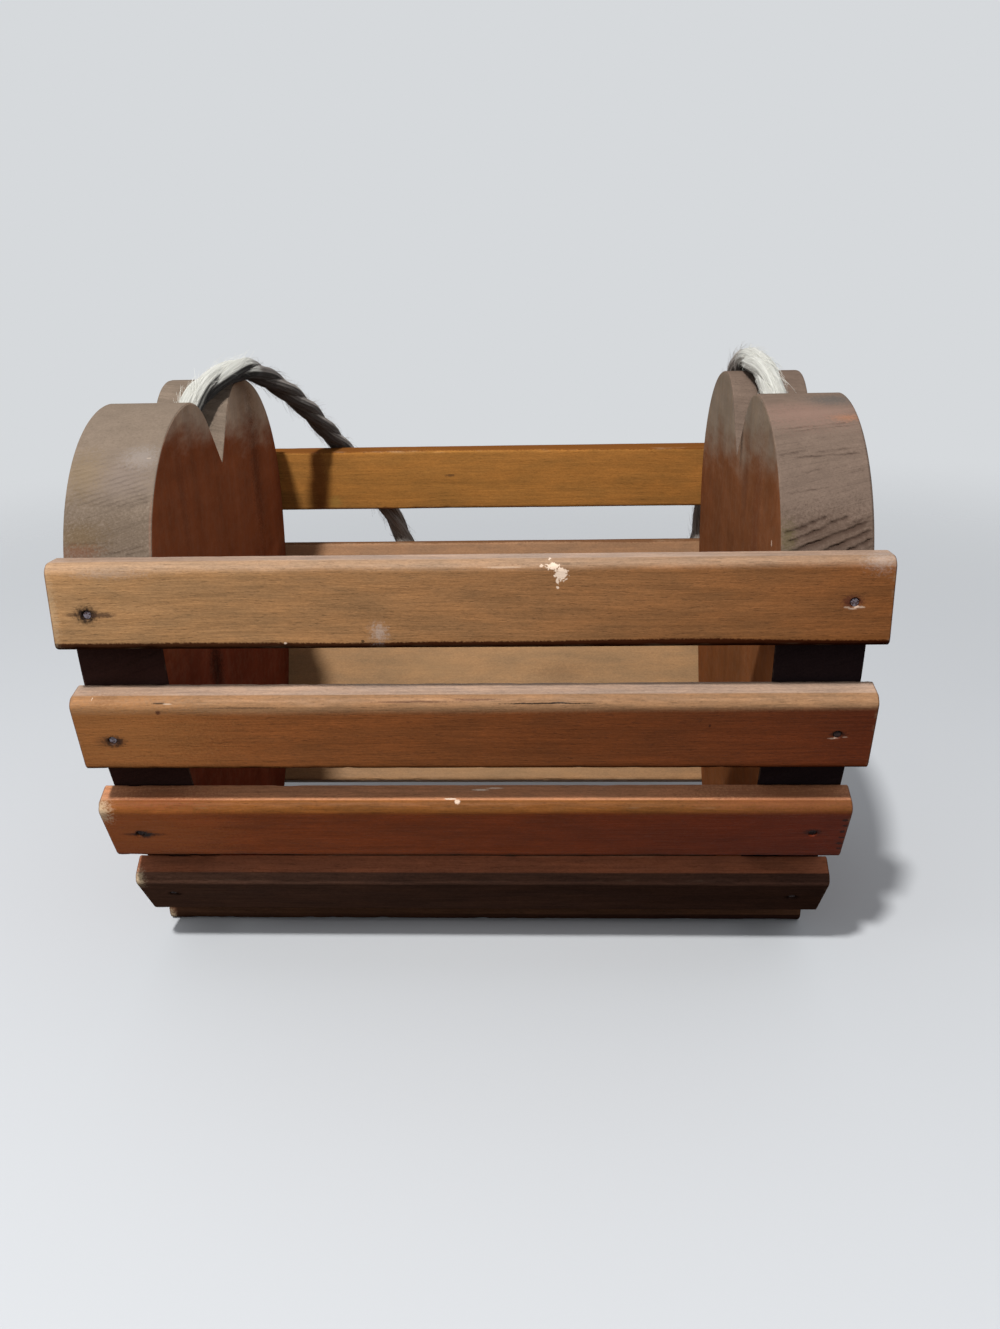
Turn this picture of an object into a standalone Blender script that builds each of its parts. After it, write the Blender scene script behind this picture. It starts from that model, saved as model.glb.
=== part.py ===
"""A slatted basket between two heart-shaped end boards, with a rope handle.

Metres, +Z up, +X to the right and +Y to the rear. The origin is on the ground under the middle of the basket.
The heart outline and the slat stock drive the model: the slats are spaced along the hearts' edges, and the
nails, pilot holes and rope holes follow them.
"""

import math

import bmesh
import bpy
from mathutils import Matrix, Vector

# Slat stock
SLAT_LENGTH = 0.3556
SLAT_WIDTH = 0.0381
SLAT_THICKNESS = 0.015
SLAT_FACE_ROUNDING = 0.0045
SLAT_BACK_ROUNDING = 0.0015
SLAT_END_ROUNDING = 0.0012
SLATS_PER_SIDE = 4

# Heart-shaped end boards
PANEL_THICKNESS = 0.0394
PANEL_HALF_WIDTH = 0.1235
PANEL_WIDEST_HEIGHT = 0.1962
FOOT_HALF_WIDTH = 0.047
LOBE_SPACING = 0.093
NOTCH_LIP_RADIUS = 0.036
NOTCH_LIP_LIMIT_SHARE = 0.9
NOTCH_DEPTH = 0.037
PANEL_EDGE_EASING = 0.0014

# How the slats sit on the end boards
SLAT_OVERHANG = 0.0031
TOP_SLAT_RISE = 0.0035
BOTTOM_SLAT_OVERHANG = 0.0044
FRONT_SHIFT_SHARES = (0.5, 0.44, -0.13, 0.1)
REAR_SHIFT_SHARES = (-0.3, 0.4, -0.45, 0.2)
BOTTOM_SHIFT_SHARES = (-0.5, 0.25)

# Finishing nails
NAIL_LENGTH = 0.044
NAIL_SHANK_RADIUS = 0.00115
NAIL_HEAD_RADIUS = 0.0017
NAIL_HEAD_HEIGHT = 0.0012
NAIL_NECK_HEIGHT = 0.0008
NAIL_POINT_LENGTH = 0.003
NAIL_SET_DEPTH = 0.0007
NAIL_END_MARGIN = 0.016
LEFT_NAIL_DROP_SHARES = (0.08, 0.06, 0.02, -0.065)

# Rope handle
ROPE_DIAMETER = 0.011
ROPE_HOLE_DEPTH = 0.027

# Clearances and overruns
SEAT_GAP = 0.0003
CUT_OVERRUN = 0.003
WELD_DISTANCE = 0.00001

# Facets
ARC_STEP_DEGREES = 7.5
NAIL_SIDES = 10
ROPE_STEP_DIAMETERS = 1.6
ROPE_END_RUN_SHARE = 0.45

# The rope's centreline, in metres. It stands out of the hole in each notch, bends over the rear lobe,
# crosses the top edge of the rear slats and hangs down behind them.
LEFT_END_ROUTE = (
    (-0.1550, 0.0000, 0.2256),
    (-0.1550, 0.0000, 0.2430),
    (-0.1550, 0.0000, 0.2600),
    (-0.1542, 0.0018, 0.2695),
    (-0.1512, 0.0080, 0.2800),
    (-0.1440, 0.0200, 0.2895),
    (-0.1310, 0.0400, 0.2950),
)
HANDLE_ROUTE = (
    (-0.1310, 0.0400, 0.2950),
    (-0.1237, 0.0610, 0.2885),
    (-0.1165, 0.0820, 0.2775),
    (-0.1095, 0.1040, 0.2635),
    (-0.1035, 0.1260, 0.2480),
    (-0.0972, 0.1463, 0.2325),
    (-0.0868, 0.1490, 0.2160),
    (-0.0762, 0.1490, 0.2010),
    (-0.0665, 0.1488, 0.1850),
    (-0.0590, 0.1486, 0.1670),
    (-0.0530, 0.1485, 0.1480),
    (-0.0455, 0.1485, 0.1300),
    (-0.0330, 0.1485, 0.1130),
    (-0.0150, 0.1485, 0.0995),
    (0.0080, 0.1485, 0.0910),
    (0.0340, 0.1485, 0.0875),
    (0.0610, 0.1485, 0.0890),
    (0.0870, 0.1485, 0.0965),
    (0.1095, 0.1485, 0.1105),
    (0.1265, 0.1485, 0.1305),
    (0.1360, 0.1485, 0.1540),
    (0.1400, 0.1487, 0.1790),
    (0.1425, 0.1489, 0.2000),
    (0.1450, 0.1486, 0.2205),
    (0.1468, 0.1420, 0.2385),
    (0.1480, 0.1310, 0.2505),
    (0.1485, 0.1165, 0.2645),
    (0.1483, 0.0990, 0.2783),
    (0.1480, 0.0795, 0.2885),
    (0.1480, 0.0590, 0.2940),
    (0.1485, 0.0400, 0.2950),
)
RIGHT_END_ROUTE = (
    (0.1485, 0.0400, 0.2950),
    (0.1517, 0.0200, 0.2900),
    (0.1540, 0.0080, 0.2805),
    (0.1549, 0.0018, 0.2695),
    (0.1550, 0.0000, 0.2600),
    (0.1550, 0.0000, 0.2430),
    (0.1550, 0.0000, 0.2256),
)
# Level runs of the rope where the handle part meets the two end parts
LEFT_CREST_DIRECTION = (0.42, 0.91, 0.0)
RIGHT_CREST_DIRECTION = (0.09, -0.995, 0.0)
HOLE_DIRECTION_UP = (0.0, 0.0, 1.0)

# Worked out from the sizes above
ROPE_RADIUS = ROPE_DIAMETER / 2
ROPE_HOLE_RADIUS = ROPE_RADIUS + SEAT_GAP
PANEL_OUTER_X = SLAT_LENGTH / 2 - SLAT_OVERHANG
PANEL_CENTRE_X = PANEL_OUTER_X - PANEL_THICKNESS / 2
FOOT_Z = SLAT_THICKNESS + SEAT_GAP
WIDEST_Z = FOOT_Z + PANEL_WIDEST_HEIGHT
CREST_Y = LOBE_SPACING / 2
LOBE_RADIUS = PANEL_HALF_WIDTH - CREST_Y
CREST_Z = WIDEST_Z + LOBE_RADIUS
NOTCH_Z = CREST_Z - NOTCH_DEPTH
LIP_LIMIT = NOTCH_LIP_LIMIT_SHARE * (CREST_Y**2 + NOTCH_DEPTH**2) / (2 * NOTCH_DEPTH)
LIP_RADIUS = min(NOTCH_LIP_RADIUS, LIP_LIMIT)
FOOT_ANGLE = 2 * math.atan((PANEL_HALF_WIDTH - FOOT_HALF_WIDTH) / PANEL_WIDEST_HEIGHT)
SIDE_RADIUS = PANEL_WIDEST_HEIGHT / math.sin(FOOT_ANGLE)
SIDE_CENTRE_Y = PANEL_HALF_WIDTH - SIDE_RADIUS
SIDE_RUN = TOP_SLAT_RISE + SIDE_RADIUS * FOOT_ANGLE
SLAT_GAP = (SIDE_RUN - (SLATS_PER_SIDE - 0.5) * SLAT_WIDTH) / SLATS_PER_SIDE
SLAT_PITCH = SLAT_WIDTH + SLAT_GAP
BOTTOM_SLAT_Y = FOOT_HALF_WIDTH + BOTTOM_SLAT_OVERHANG - SLAT_WIDTH / 2
HANDLE_AXIS_Y = HANDLE_ROUTE[0][1]
HANDLE_AXIS_Z = HANDLE_ROUTE[0][2] + ROPE_RADIUS

# Colours: (red, green, blue), roughness, metallic
FINISHES = {
    "heart_wood": ((0.20, 0.13, 0.09), 0.6, 0.0),
    "front_slat_wood": ((0.23, 0.10, 0.04), 0.4, 0.0),
    "rear_slat_wood": ((0.36, 0.17, 0.06), 0.4, 0.0),
    "bottom_slat_wood": ((0.12, 0.06, 0.03), 0.5, 0.0),
    "nail_steel": ((0.30, 0.29, 0.27), 0.5, 0.9),
    "rope_fibre": ((0.62, 0.56, 0.47), 0.9, 0.0),
}


def clear_scene():
    for old in list(bpy.data.objects):
        bpy.data.objects.remove(old, do_unlink=True)


def make_collection(name):
    collection = bpy.data.collections.new(name)
    bpy.context.scene.collection.children.link(collection)
    return collection


def make_material(name):
    colour, roughness, metallic = FINISHES[name]
    material = bpy.data.materials.new(name)
    material.use_nodes = True
    shader = material.node_tree.nodes["Principled BSDF"]
    shader.inputs["Base Color"].default_value = (*colour, 1)
    shader.inputs["Roughness"].default_value = roughness
    shader.inputs["Metallic"].default_value = metallic
    return material


def to_plain_mesh(carrier):
    """The evaluated mesh of a scratch object, which is then removed."""
    bpy.context.view_layer.update()
    evaluated = carrier.evaluated_get(bpy.context.evaluated_depsgraph_get())
    mesh = bpy.data.meshes.new_from_object(evaluated)
    bpy.data.objects.remove(carrier, do_unlink=True)
    welded = bmesh.new()
    welded.from_mesh(mesh)
    bmesh.ops.remove_doubles(welded, verts=welded.verts, dist=WELD_DISTANCE)
    welded.to_mesh(mesh)
    welded.free()
    return mesh


def add_object(name, data, collection, finish=None):
    part = bpy.data.objects.new(name, data)
    collection.objects.link(part)
    if finish:
        data.materials.clear()
        data.materials.append(make_material(finish))
    return part


def hide_as_cutter(cutter):
    cutter.hide_render = True
    cutter.display_type = "WIRE"


def cut(part, cutter):
    boolean = part.modifiers.new(f"cut_{cutter.name}", "BOOLEAN")
    boolean.operation = "DIFFERENCE"
    boolean.solver = "EXACT"
    boolean.object = cutter


def edge_seat(run):
    """A place on the rear edge of the heart: y, z and lean, at a distance below its widest place."""
    radius = SIDE_RADIUS if run >= 0 else LOBE_RADIUS
    centre_y = PANEL_HALF_WIDTH - radius
    lean = run / radius
    return centre_y + radius * math.cos(lean), WIDEST_Z - radius * math.sin(lean), lean


def arc(centre_y, centre_z, radius, start, end):
    """Points of an arc, by angle from the +Y direction towards +Z, without its last point."""
    steps = max(2, math.ceil(abs(end - start) / math.radians(ARC_STEP_DEGREES * LOBE_RADIUS / radius)))
    angles = [start + (end - start) * step / steps for step in range(steps)]
    return [(centre_y + radius * math.cos(a), centre_z + radius * math.sin(a)) for a in angles]


def heart_outline():
    """The whole outline in (y, z): half of it from the foot up to the notch, and its mirror image."""
    lip_z = CREST_Z - LIP_RADIUS
    to_lip = math.hypot(CREST_Y, lip_z - NOTCH_Z)
    tangent = math.atan2(lip_z - NOTCH_Z, CREST_Y) + math.asin(LIP_RADIUS / to_lip)
    half = arc(SIDE_CENTRE_Y, WIDEST_Z, SIDE_RADIUS, -FOOT_ANGLE, 0)
    half += arc(CREST_Y, WIDEST_Z, LOBE_RADIUS, 0, math.pi / 2)
    half += arc(CREST_Y, lip_z, LIP_RADIUS, math.pi / 2, math.pi / 2 + tangent)
    half.append((
        CREST_Y - LIP_RADIUS * math.sin(tangent),
        lip_z + LIP_RADIUS * math.cos(tangent),
    ))
    return half + [(0, NOTCH_Z)] + [(-y, z) for y, z in reversed(half)]


def make_panel(name, centre_x, collection):
    """One heart-shaped end board, drawn flat, extruded to its thickness and stood across X."""
    outline = bpy.data.curves.new(name, "CURVE")
    outline.dimensions = "2D"
    outline.fill_mode = "BOTH"
    outline.extrude = PANEL_THICKNESS / 2
    points = heart_outline()
    spline = outline.splines.new("POLY")
    spline.points.add(len(points) - 1)
    for point, (y, z) in zip(spline.points, points):
        point.co = (y, z, 0, 1)
    spline.use_cyclic_u = True
    mesh = to_plain_mesh(add_object(f"{name}_outline", outline, collection))
    mesh.transform(Matrix(((0, 0, 1, 0), (1, 0, 0, 0), (0, 1, 0, 0), (0, 0, 0, 1))))
    panel = add_object(name, mesh, collection, "heart_wood")
    panel.location = (centre_x, 0, 0)
    bevel = panel.modifiers.new("eased_edges", "BEVEL")
    bevel.width = PANEL_EDGE_EASING
    bevel.segments = 2
    bevel.limit_method = "ANGLE"
    bevel.angle_limit = math.radians(60)
    return panel


def outward_frame(y, z, lean, side):
    """A frame on the heart's edge with X along the slat and Z straight out of the basket."""
    out = Vector((0, side * math.cos(lean), -math.sin(lean)))
    along = Vector((1, 0, 0))
    across = out.cross(along)
    frame = Matrix((along, across, out)).transposed().to_4x4()
    frame.translation = Vector((0, side * y, z)) + out * SEAT_GAP
    return frame


def slat_frames():
    """Every slat's name, finish, frame and shift along X."""
    rows = []
    for side, word, shares in ((-1, "front", FRONT_SHIFT_SHARES), (1, "rear", REAR_SHIFT_SHARES)):
        for number in range(SLATS_PER_SIDE):
            y, z, lean = edge_seat(number * SLAT_PITCH - TOP_SLAT_RISE)
            frame = outward_frame(y, z, lean, side)
            rows.append((f"{word}_slat_{number + 1}", f"{word}_slat_wood", frame, shares[number]))
    for side, word, share in zip((-1, 1), ("front", "rear"), BOTTOM_SHIFT_SHARES):
        frame = outward_frame(BOTTOM_SLAT_Y, FOOT_Z, math.pi / 2, side)
        rows.append((f"bottom_slat_{word}", "bottom_slat_wood", frame, share))
    return rows


def make_slat(name, finish, frame, shift_share, collection):
    """A straight slat with its back on the heart's edge, well rounded outside and less so inside."""
    shape = bmesh.new()
    bmesh.ops.create_cube(shape, size=1)
    bmesh.ops.scale(shape, vec=(SLAT_LENGTH, SLAT_WIDTH, SLAT_THICKNESS), verts=shape.verts)
    shift = shift_share * SLAT_OVERHANG
    bmesh.ops.translate(shape, vec=(shift, 0, SLAT_THICKNESS / 2), verts=shape.verts)
    weights = shape.edges.layers.float.new("bevel_weight_edge")
    for edge in shape.edges:
        middle = (edge.verts[0].co + edge.verts[1].co) / 2
        runs_along = abs(edge.verts[0].co.x - edge.verts[1].co.x) > SLAT_LENGTH / 2
        if runs_along and middle.z > SLAT_THICKNESS / 2:
            edge[weights] = 1
        elif runs_along:
            edge[weights] = SLAT_BACK_ROUNDING / SLAT_FACE_ROUNDING
        else:
            edge[weights] = SLAT_END_ROUNDING / SLAT_FACE_ROUNDING
    mesh = bpy.data.meshes.new(name)
    shape.to_mesh(mesh)
    shape.free()
    slat = add_object(name, mesh, collection, finish)
    slat.matrix_world = frame
    bevel = slat.modifiers.new("rounded_edges", "BEVEL")
    bevel.width = SLAT_FACE_ROUNDING
    bevel.segments = 3
    bevel.limit_method = "WEIGHT"
    return slat


def turned_mesh(name, profile, collection):
    """A solid of revolution about Z from (radius, height) points that run from the top down."""
    mesh = bpy.data.meshes.new(name)
    mesh.from_pydata([(r, 0, z) for r, z in profile], [(i, i + 1) for i in range(len(profile) - 1)], [])
    turned = add_object(name, mesh, collection)
    screw = turned.modifiers.new("turned", "SCREW")
    screw.steps = NAIL_SIDES
    screw.render_steps = NAIL_SIDES
    screw.use_merge_vertices = True
    screw.merge_threshold = WELD_DISTANCE
    return to_plain_mesh(turned)


def nail_profile():
    top = -NAIL_SET_DEPTH
    under_head = top - NAIL_HEAD_HEIGHT
    neck = under_head - NAIL_NECK_HEIGHT
    tip = top - NAIL_LENGTH
    return [
        (0, top),
        (NAIL_HEAD_RADIUS, top),
        (NAIL_HEAD_RADIUS, under_head),
        (NAIL_SHANK_RADIUS, neck),
        (NAIL_SHANK_RADIUS, tip + NAIL_POINT_LENGTH),
        (0, tip),
    ]


def nail_hole_profile():
    """The nail's own profile, wider and longer all round by the seat gap, and open at the slat's face."""
    head_bottom = -NAIL_SET_DEPTH - NAIL_HEAD_HEIGHT
    neck = head_bottom - NAIL_NECK_HEIGHT - SEAT_GAP
    bottom = -NAIL_SET_DEPTH - NAIL_LENGTH - SEAT_GAP
    return [
        (0, CUT_OVERRUN),
        (NAIL_HEAD_RADIUS + SEAT_GAP, CUT_OVERRUN),
        (NAIL_HEAD_RADIUS + SEAT_GAP, head_bottom - SEAT_GAP),
        (NAIL_SHANK_RADIUS + SEAT_GAP, neck),
        (NAIL_SHANK_RADIUS + SEAT_GAP, bottom),
        (0, bottom),
    ]


def nail_places(side):
    """The name and frame of every nail at one end of the basket: +Z is straight out of the wood."""
    end = "left" if side < 0 else "right"
    places = []
    for index, (name, _, frame, shift_share) in enumerate(slat_frames()):
        nail_x = shift_share * SLAT_OVERHANG + side * (SLAT_LENGTH / 2 - NAIL_END_MARGIN)
        share = LEFT_NAIL_DROP_SHARES[index] if side < 0 and index < SLATS_PER_SIDE else 0
        inset = Matrix.Translation((nail_x, -share * SLAT_WIDTH, SLAT_THICKNESS))
        places.append((f"{name.replace('slat', 'nail')}_{end}", frame @ inset))
    return places


def repeated_mesh(name, mesh, frames):
    """One mesh that holds a copy of another in each frame."""
    group = bmesh.new()
    for frame in frames:
        before = len(group.verts)
        group.from_mesh(mesh)
        group.verts.ensure_lookup_table()
        bmesh.ops.transform(group, matrix=frame, verts=group.verts[before:])
    joined = bpy.data.meshes.new(name)
    group.to_mesh(joined)
    group.free()
    return joined


def make_nails(collection, cutters):
    """One nail at each end of every slat, and a cutter that holds all the pilot holes of one end."""
    nail = turned_mesh("nail", nail_profile(), collection)
    nail.materials.append(make_material("nail_steel"))
    hole = turned_mesh("nail_hole", nail_hole_profile(), cutters)
    holes = []
    for side, end in ((-1, "left"), (1, "right")):
        places = nail_places(side)
        for name, frame in places:
            add_object(name, nail, collection).matrix_world = frame
        name = f"pilot_holes_{end}"
        holes.append(add_object(name, repeated_mesh(name, hole, [frame for _, frame in places]), cutters))
        hide_as_cutter(holes[-1])
    return holes


def make_rope_hole(name, centre_x, collection):
    """The blind hole that goes straight down from the bottom of the notch."""
    top = NOTCH_Z + ROPE_HOLE_DEPTH
    depth = top - (NOTCH_Z - ROPE_HOLE_DEPTH)
    shape = bmesh.new()
    bmesh.ops.create_cone(
        shape, cap_ends=True, segments=20, radius1=ROPE_HOLE_RADIUS, radius2=ROPE_HOLE_RADIUS, depth=depth
    )
    mesh = bpy.data.meshes.new(name)
    shape.to_mesh(mesh)
    shape.free()
    hole = add_object(name, mesh, collection)
    hole.location = (centre_x, 0, top - depth / 2)
    hide_as_cutter(hole)
    return hole


def smooth_points(route, step):
    """Points about a step apart on a smooth curve through the route's own points, which are among them."""
    before = 2 * Vector(route[0]) - Vector(route[1])
    after = 2 * Vector(route[-1]) - Vector(route[-2])
    knots = [before, *map(Vector, route), after]
    points = []
    for a, b, c, d in zip(knots, knots[1:], knots[2:], knots[3:]):
        count = max(1, round((c - b).length / step))
        for t in (index / count for index in range(count)):
            bend = (c - a) * t + (2 * a - 5 * b + 4 * c - d) * t**2 + (3 * b - a - 3 * c + d) * t**3
            points.append(b + bend / 2)
    return [*points, knots[-2]]


def make_rope(name, route, start_direction, end_direction, gaps, collection):
    """A tube along the route. Its ends run straight, and each is drawn back by its own gap."""
    run = ROPE_DIAMETER * ROPE_END_RUN_SHARE
    start, end = Vector(start_direction).normalized(), Vector(end_direction).normalized()
    points = smooth_points(route, ROPE_DIAMETER * ROPE_STEP_DIAMETERS)
    points = [
        points[0] + start * gaps[0],
        points[0] + start * run,
        *points[1:-1],
        points[-1] - end * run,
        points[-1] - end * gaps[1],
    ]
    curve = bpy.data.curves.new(name, "CURVE")
    curve.dimensions = "3D"
    curve.bevel_depth = ROPE_RADIUS
    curve.bevel_resolution = 3
    curve.use_fill_caps = True
    spline = curve.splines.new("POLY")
    spline.points.add(len(points) - 1)
    for knot, place in zip(spline.points, points):
        knot.co = (*place, 1)
    rope = add_object(name, curve, collection, "rope_fibre")
    return rope


def make_ropes(collection):
    """The two fixed ends in their holes, and the part between them that swings as the handle."""
    up = Vector(HOLE_DIRECTION_UP)
    half_gap = SEAT_GAP / 2
    gaps_at_left = (0, half_gap)
    gaps_at_right = (half_gap, 0)
    make_rope("rope_end_left", LEFT_END_ROUTE, up, LEFT_CREST_DIRECTION, gaps_at_left, collection)
    make_rope("rope_end_right", RIGHT_END_ROUTE, RIGHT_CREST_DIRECTION, -up, gaps_at_right, collection)
    handle = make_rope(
        "rope_handle",
        HANDLE_ROUTE,
        LEFT_CREST_DIRECTION,
        RIGHT_CREST_DIRECTION,
        (half_gap, half_gap),
        collection,
    )
    pivot = bpy.data.objects.new("handle_pivot", None)
    collection.objects.link(pivot)
    pivot.location = (0, HANDLE_AXIS_Y, HANDLE_AXIS_Z)
    bpy.context.view_layer.update()
    handle.parent = pivot
    handle.matrix_parent_inverse = pivot.matrix_world.inverted()


def shade_round_parts(collection):
    """Smooth shading with sharp corners kept, on the pieces that are meshes."""
    for part in collection.objects:
        if part.type == "MESH":
            part.data.shade_smooth()
            part.data.set_sharp_from_angle(angle=math.radians(35))


def build():
    clear_scene()
    basket = make_collection("slatted_basket")
    cutters = make_collection("cutters")
    holes = make_nails(basket, cutters)
    for end, side, pilot_holes in (("left", -1, holes[0]), ("right", 1, holes[1])):
        panel = make_panel(f"heart_end_{end}", side * PANEL_CENTRE_X, basket)
        cut(panel, make_rope_hole(f"rope_hole_{end}", side * PANEL_CENTRE_X, cutters))
        cut(panel, pilot_holes)
    for name, finish, frame, shift_share in slat_frames():
        slat = make_slat(name, finish, frame, shift_share, basket)
        for pilot_holes in holes:
            cut(slat, pilot_holes)
    make_ropes(basket)
    shade_round_parts(basket)


build()
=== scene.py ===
"""Looks of a wooden slatted basket: stained slats, sawn heart ends, rusted nails and a twisted rope handle.

Metres and Z up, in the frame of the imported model. The slats and the hearts take their places from the
model's own nodes. Each slat is finished in its own frame: X along it, Y across it, and Z out of its face.
"""

import math
from functools import cache

import bmesh
import bpy
import numpy as np
from mathutils import Matrix, Vector


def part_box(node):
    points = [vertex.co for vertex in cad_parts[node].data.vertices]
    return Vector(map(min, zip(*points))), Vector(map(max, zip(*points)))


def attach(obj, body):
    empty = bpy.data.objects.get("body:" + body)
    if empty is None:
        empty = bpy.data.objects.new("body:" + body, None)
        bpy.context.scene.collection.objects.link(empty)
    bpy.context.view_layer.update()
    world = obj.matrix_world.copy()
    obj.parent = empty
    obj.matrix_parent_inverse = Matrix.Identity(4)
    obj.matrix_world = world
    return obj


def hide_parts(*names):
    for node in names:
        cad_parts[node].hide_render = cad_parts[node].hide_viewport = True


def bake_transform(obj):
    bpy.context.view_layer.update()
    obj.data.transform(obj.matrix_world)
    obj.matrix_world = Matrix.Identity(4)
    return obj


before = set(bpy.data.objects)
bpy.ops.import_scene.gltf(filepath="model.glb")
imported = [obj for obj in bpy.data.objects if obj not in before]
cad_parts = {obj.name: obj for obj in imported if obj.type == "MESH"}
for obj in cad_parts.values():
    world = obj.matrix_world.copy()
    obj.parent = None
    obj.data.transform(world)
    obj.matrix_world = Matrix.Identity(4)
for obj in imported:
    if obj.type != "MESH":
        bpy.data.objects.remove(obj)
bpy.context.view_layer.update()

MM = 0.001

# The camera, fitted to the photograph: pixels, millimetres, degrees and metres
IMAGE_HEIGHT = 1329
FOCAL_PIXELS = 1100
SENSOR_SIZE = 36.0
CAMERA_PITCH = 21.15
CAMERA_YAW = -2.53
CAMERA_ROLL = 1.23
CAMERA_PLACE = (0.0352, -0.5771, 0.3589)

# Rope handle. The route is that of the model's rope, from the left hole to the right one.
ROPE_SIZES = {
    "Diameter": 0.011,
    "Lay Length": 0.080,
    "Strand Count": 3,
    "Strand Sides": 40,
    "Yarn Count": 10,
    "Yarn Ridge": 0.045,
    "Loose End Start": 0.085,
    "Loose End Stop": 0.120,
    "Pinch Start": 0.030,
    "Pinch Stop": 0.043,
}
ROPE_STEP = 0.002
ROPE_ROUTE = (
    (-0.155, 0, 0.2256), (-0.155, 0, 0.243), (-0.155, 0, 0.26), (-0.1542, 0.0018, 0.2695),
    (-0.1512, 0.008, 0.28), (-0.144, 0.02, 0.2895), (-0.131, 0.04, 0.295), (-0.1237, 0.061, 0.2885),
    (-0.1165, 0.082, 0.2775), (-0.1095, 0.104, 0.2635), (-0.1035, 0.126, 0.248), (-0.0972, 0.1463, 0.2325),
    (-0.0868, 0.149, 0.216), (-0.0762, 0.149, 0.201), (-0.0665, 0.1488, 0.185), (-0.059, 0.1486, 0.167),
    (-0.053, 0.1485, 0.148), (-0.0455, 0.1485, 0.13), (-0.033, 0.1485, 0.113), (-0.015, 0.1485, 0.0995),
    (0.008, 0.1485, 0.091), (0.034, 0.1485, 0.0875), (0.061, 0.1485, 0.089), (0.087, 0.1485, 0.0965),
    (0.1095, 0.1485, 0.1105), (0.1265, 0.1485, 0.1305), (0.136, 0.1485, 0.154), (0.14, 0.1487, 0.179),
    (0.1425, 0.1489, 0.2), (0.145, 0.1486, 0.2205), (0.1468, 0.142, 0.2385), (0.148, 0.131, 0.2505),
    (0.1485, 0.1165, 0.2645), (0.1483, 0.099, 0.2783), (0.148, 0.0795, 0.2885), (0.148, 0.059, 0.294),
    (0.1485, 0.04, 0.295), (0.1517, 0.02, 0.29), (0.154, 0.008, 0.2805), (0.1549, 0.0018, 0.2695),
    (0.155, 0, 0.26), (0.155, 0, 0.243), (0.155, 0, 0.2256),
)

# Loose fibres of the rope: short ones that stand out of it, and long ones that lie along it
FUZZ = {
    "Density": 52000.0,
    "Fibre Length": 0.0032,
    "Fibre Radius": 0.00006,
    "Height": 0.42,
    "Spread": math.pi,
    "Seed": 5,
}
HAIR = {
    "Density": 62000.0,
    "Fibre Length": 0.0115,
    "Fibre Radius": 0.00008,
    "Height": 0.10,
    "Spread": 0.35,
    "Seed": 8,
}

SLAT_SIZES = {
    "Face Rounding": 0.0045,
    "Foot Rounding": 0.0026,
    "Back Rounding": 0.0015,
    "End Rounding": 0.0008,
    "Rings": 200,
    "Section Points": 100,
    "Waviness": 0.00035,
    "Edge Wear": 0.0007,
}
CORNER_STEPS = 8
SLAT_SEED_STEP = 1.37

# Nail holes: a crushed rim, a bore for the head and one for the shank
NAIL_RIM_RADIUS = 0.0024
NAIL_RIM_DEPTH = 0.0006
NAIL_BORE_RADIUS = 0.0019
NAIL_BORE_DEPTH = 0.0021
NAIL_SHANK_BORE_RADIUS = 0.0013
NAIL_SHOULDER = 0.0006
NAIL_LENGTH = 0.0455
NAIL_HOLE_SIDES = 20

# Heart-shaped end boards
LOBE_SPACING = 0.093
FOOT_HALF_WIDTH = 0.047
NOTCH_DEPTH = 0.037
NOTCH_LIP_RADIUS = 0.036
WIDEST_HEIGHT = 0.1962
EDGE_EASING = 0.0008
EASING_STEPS = 3
OUTLINE_STEP = 0.0009
SEEN_STEP = 0.00035
RIM_COLUMNS = 56
FACE_MARGIN = 0.0008
ROPE_HOLE_RADIUS = 0.0058
ROPE_HOLE_DEPTH = 0.027
ROPE_HOLE_SIDES = 32

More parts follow.
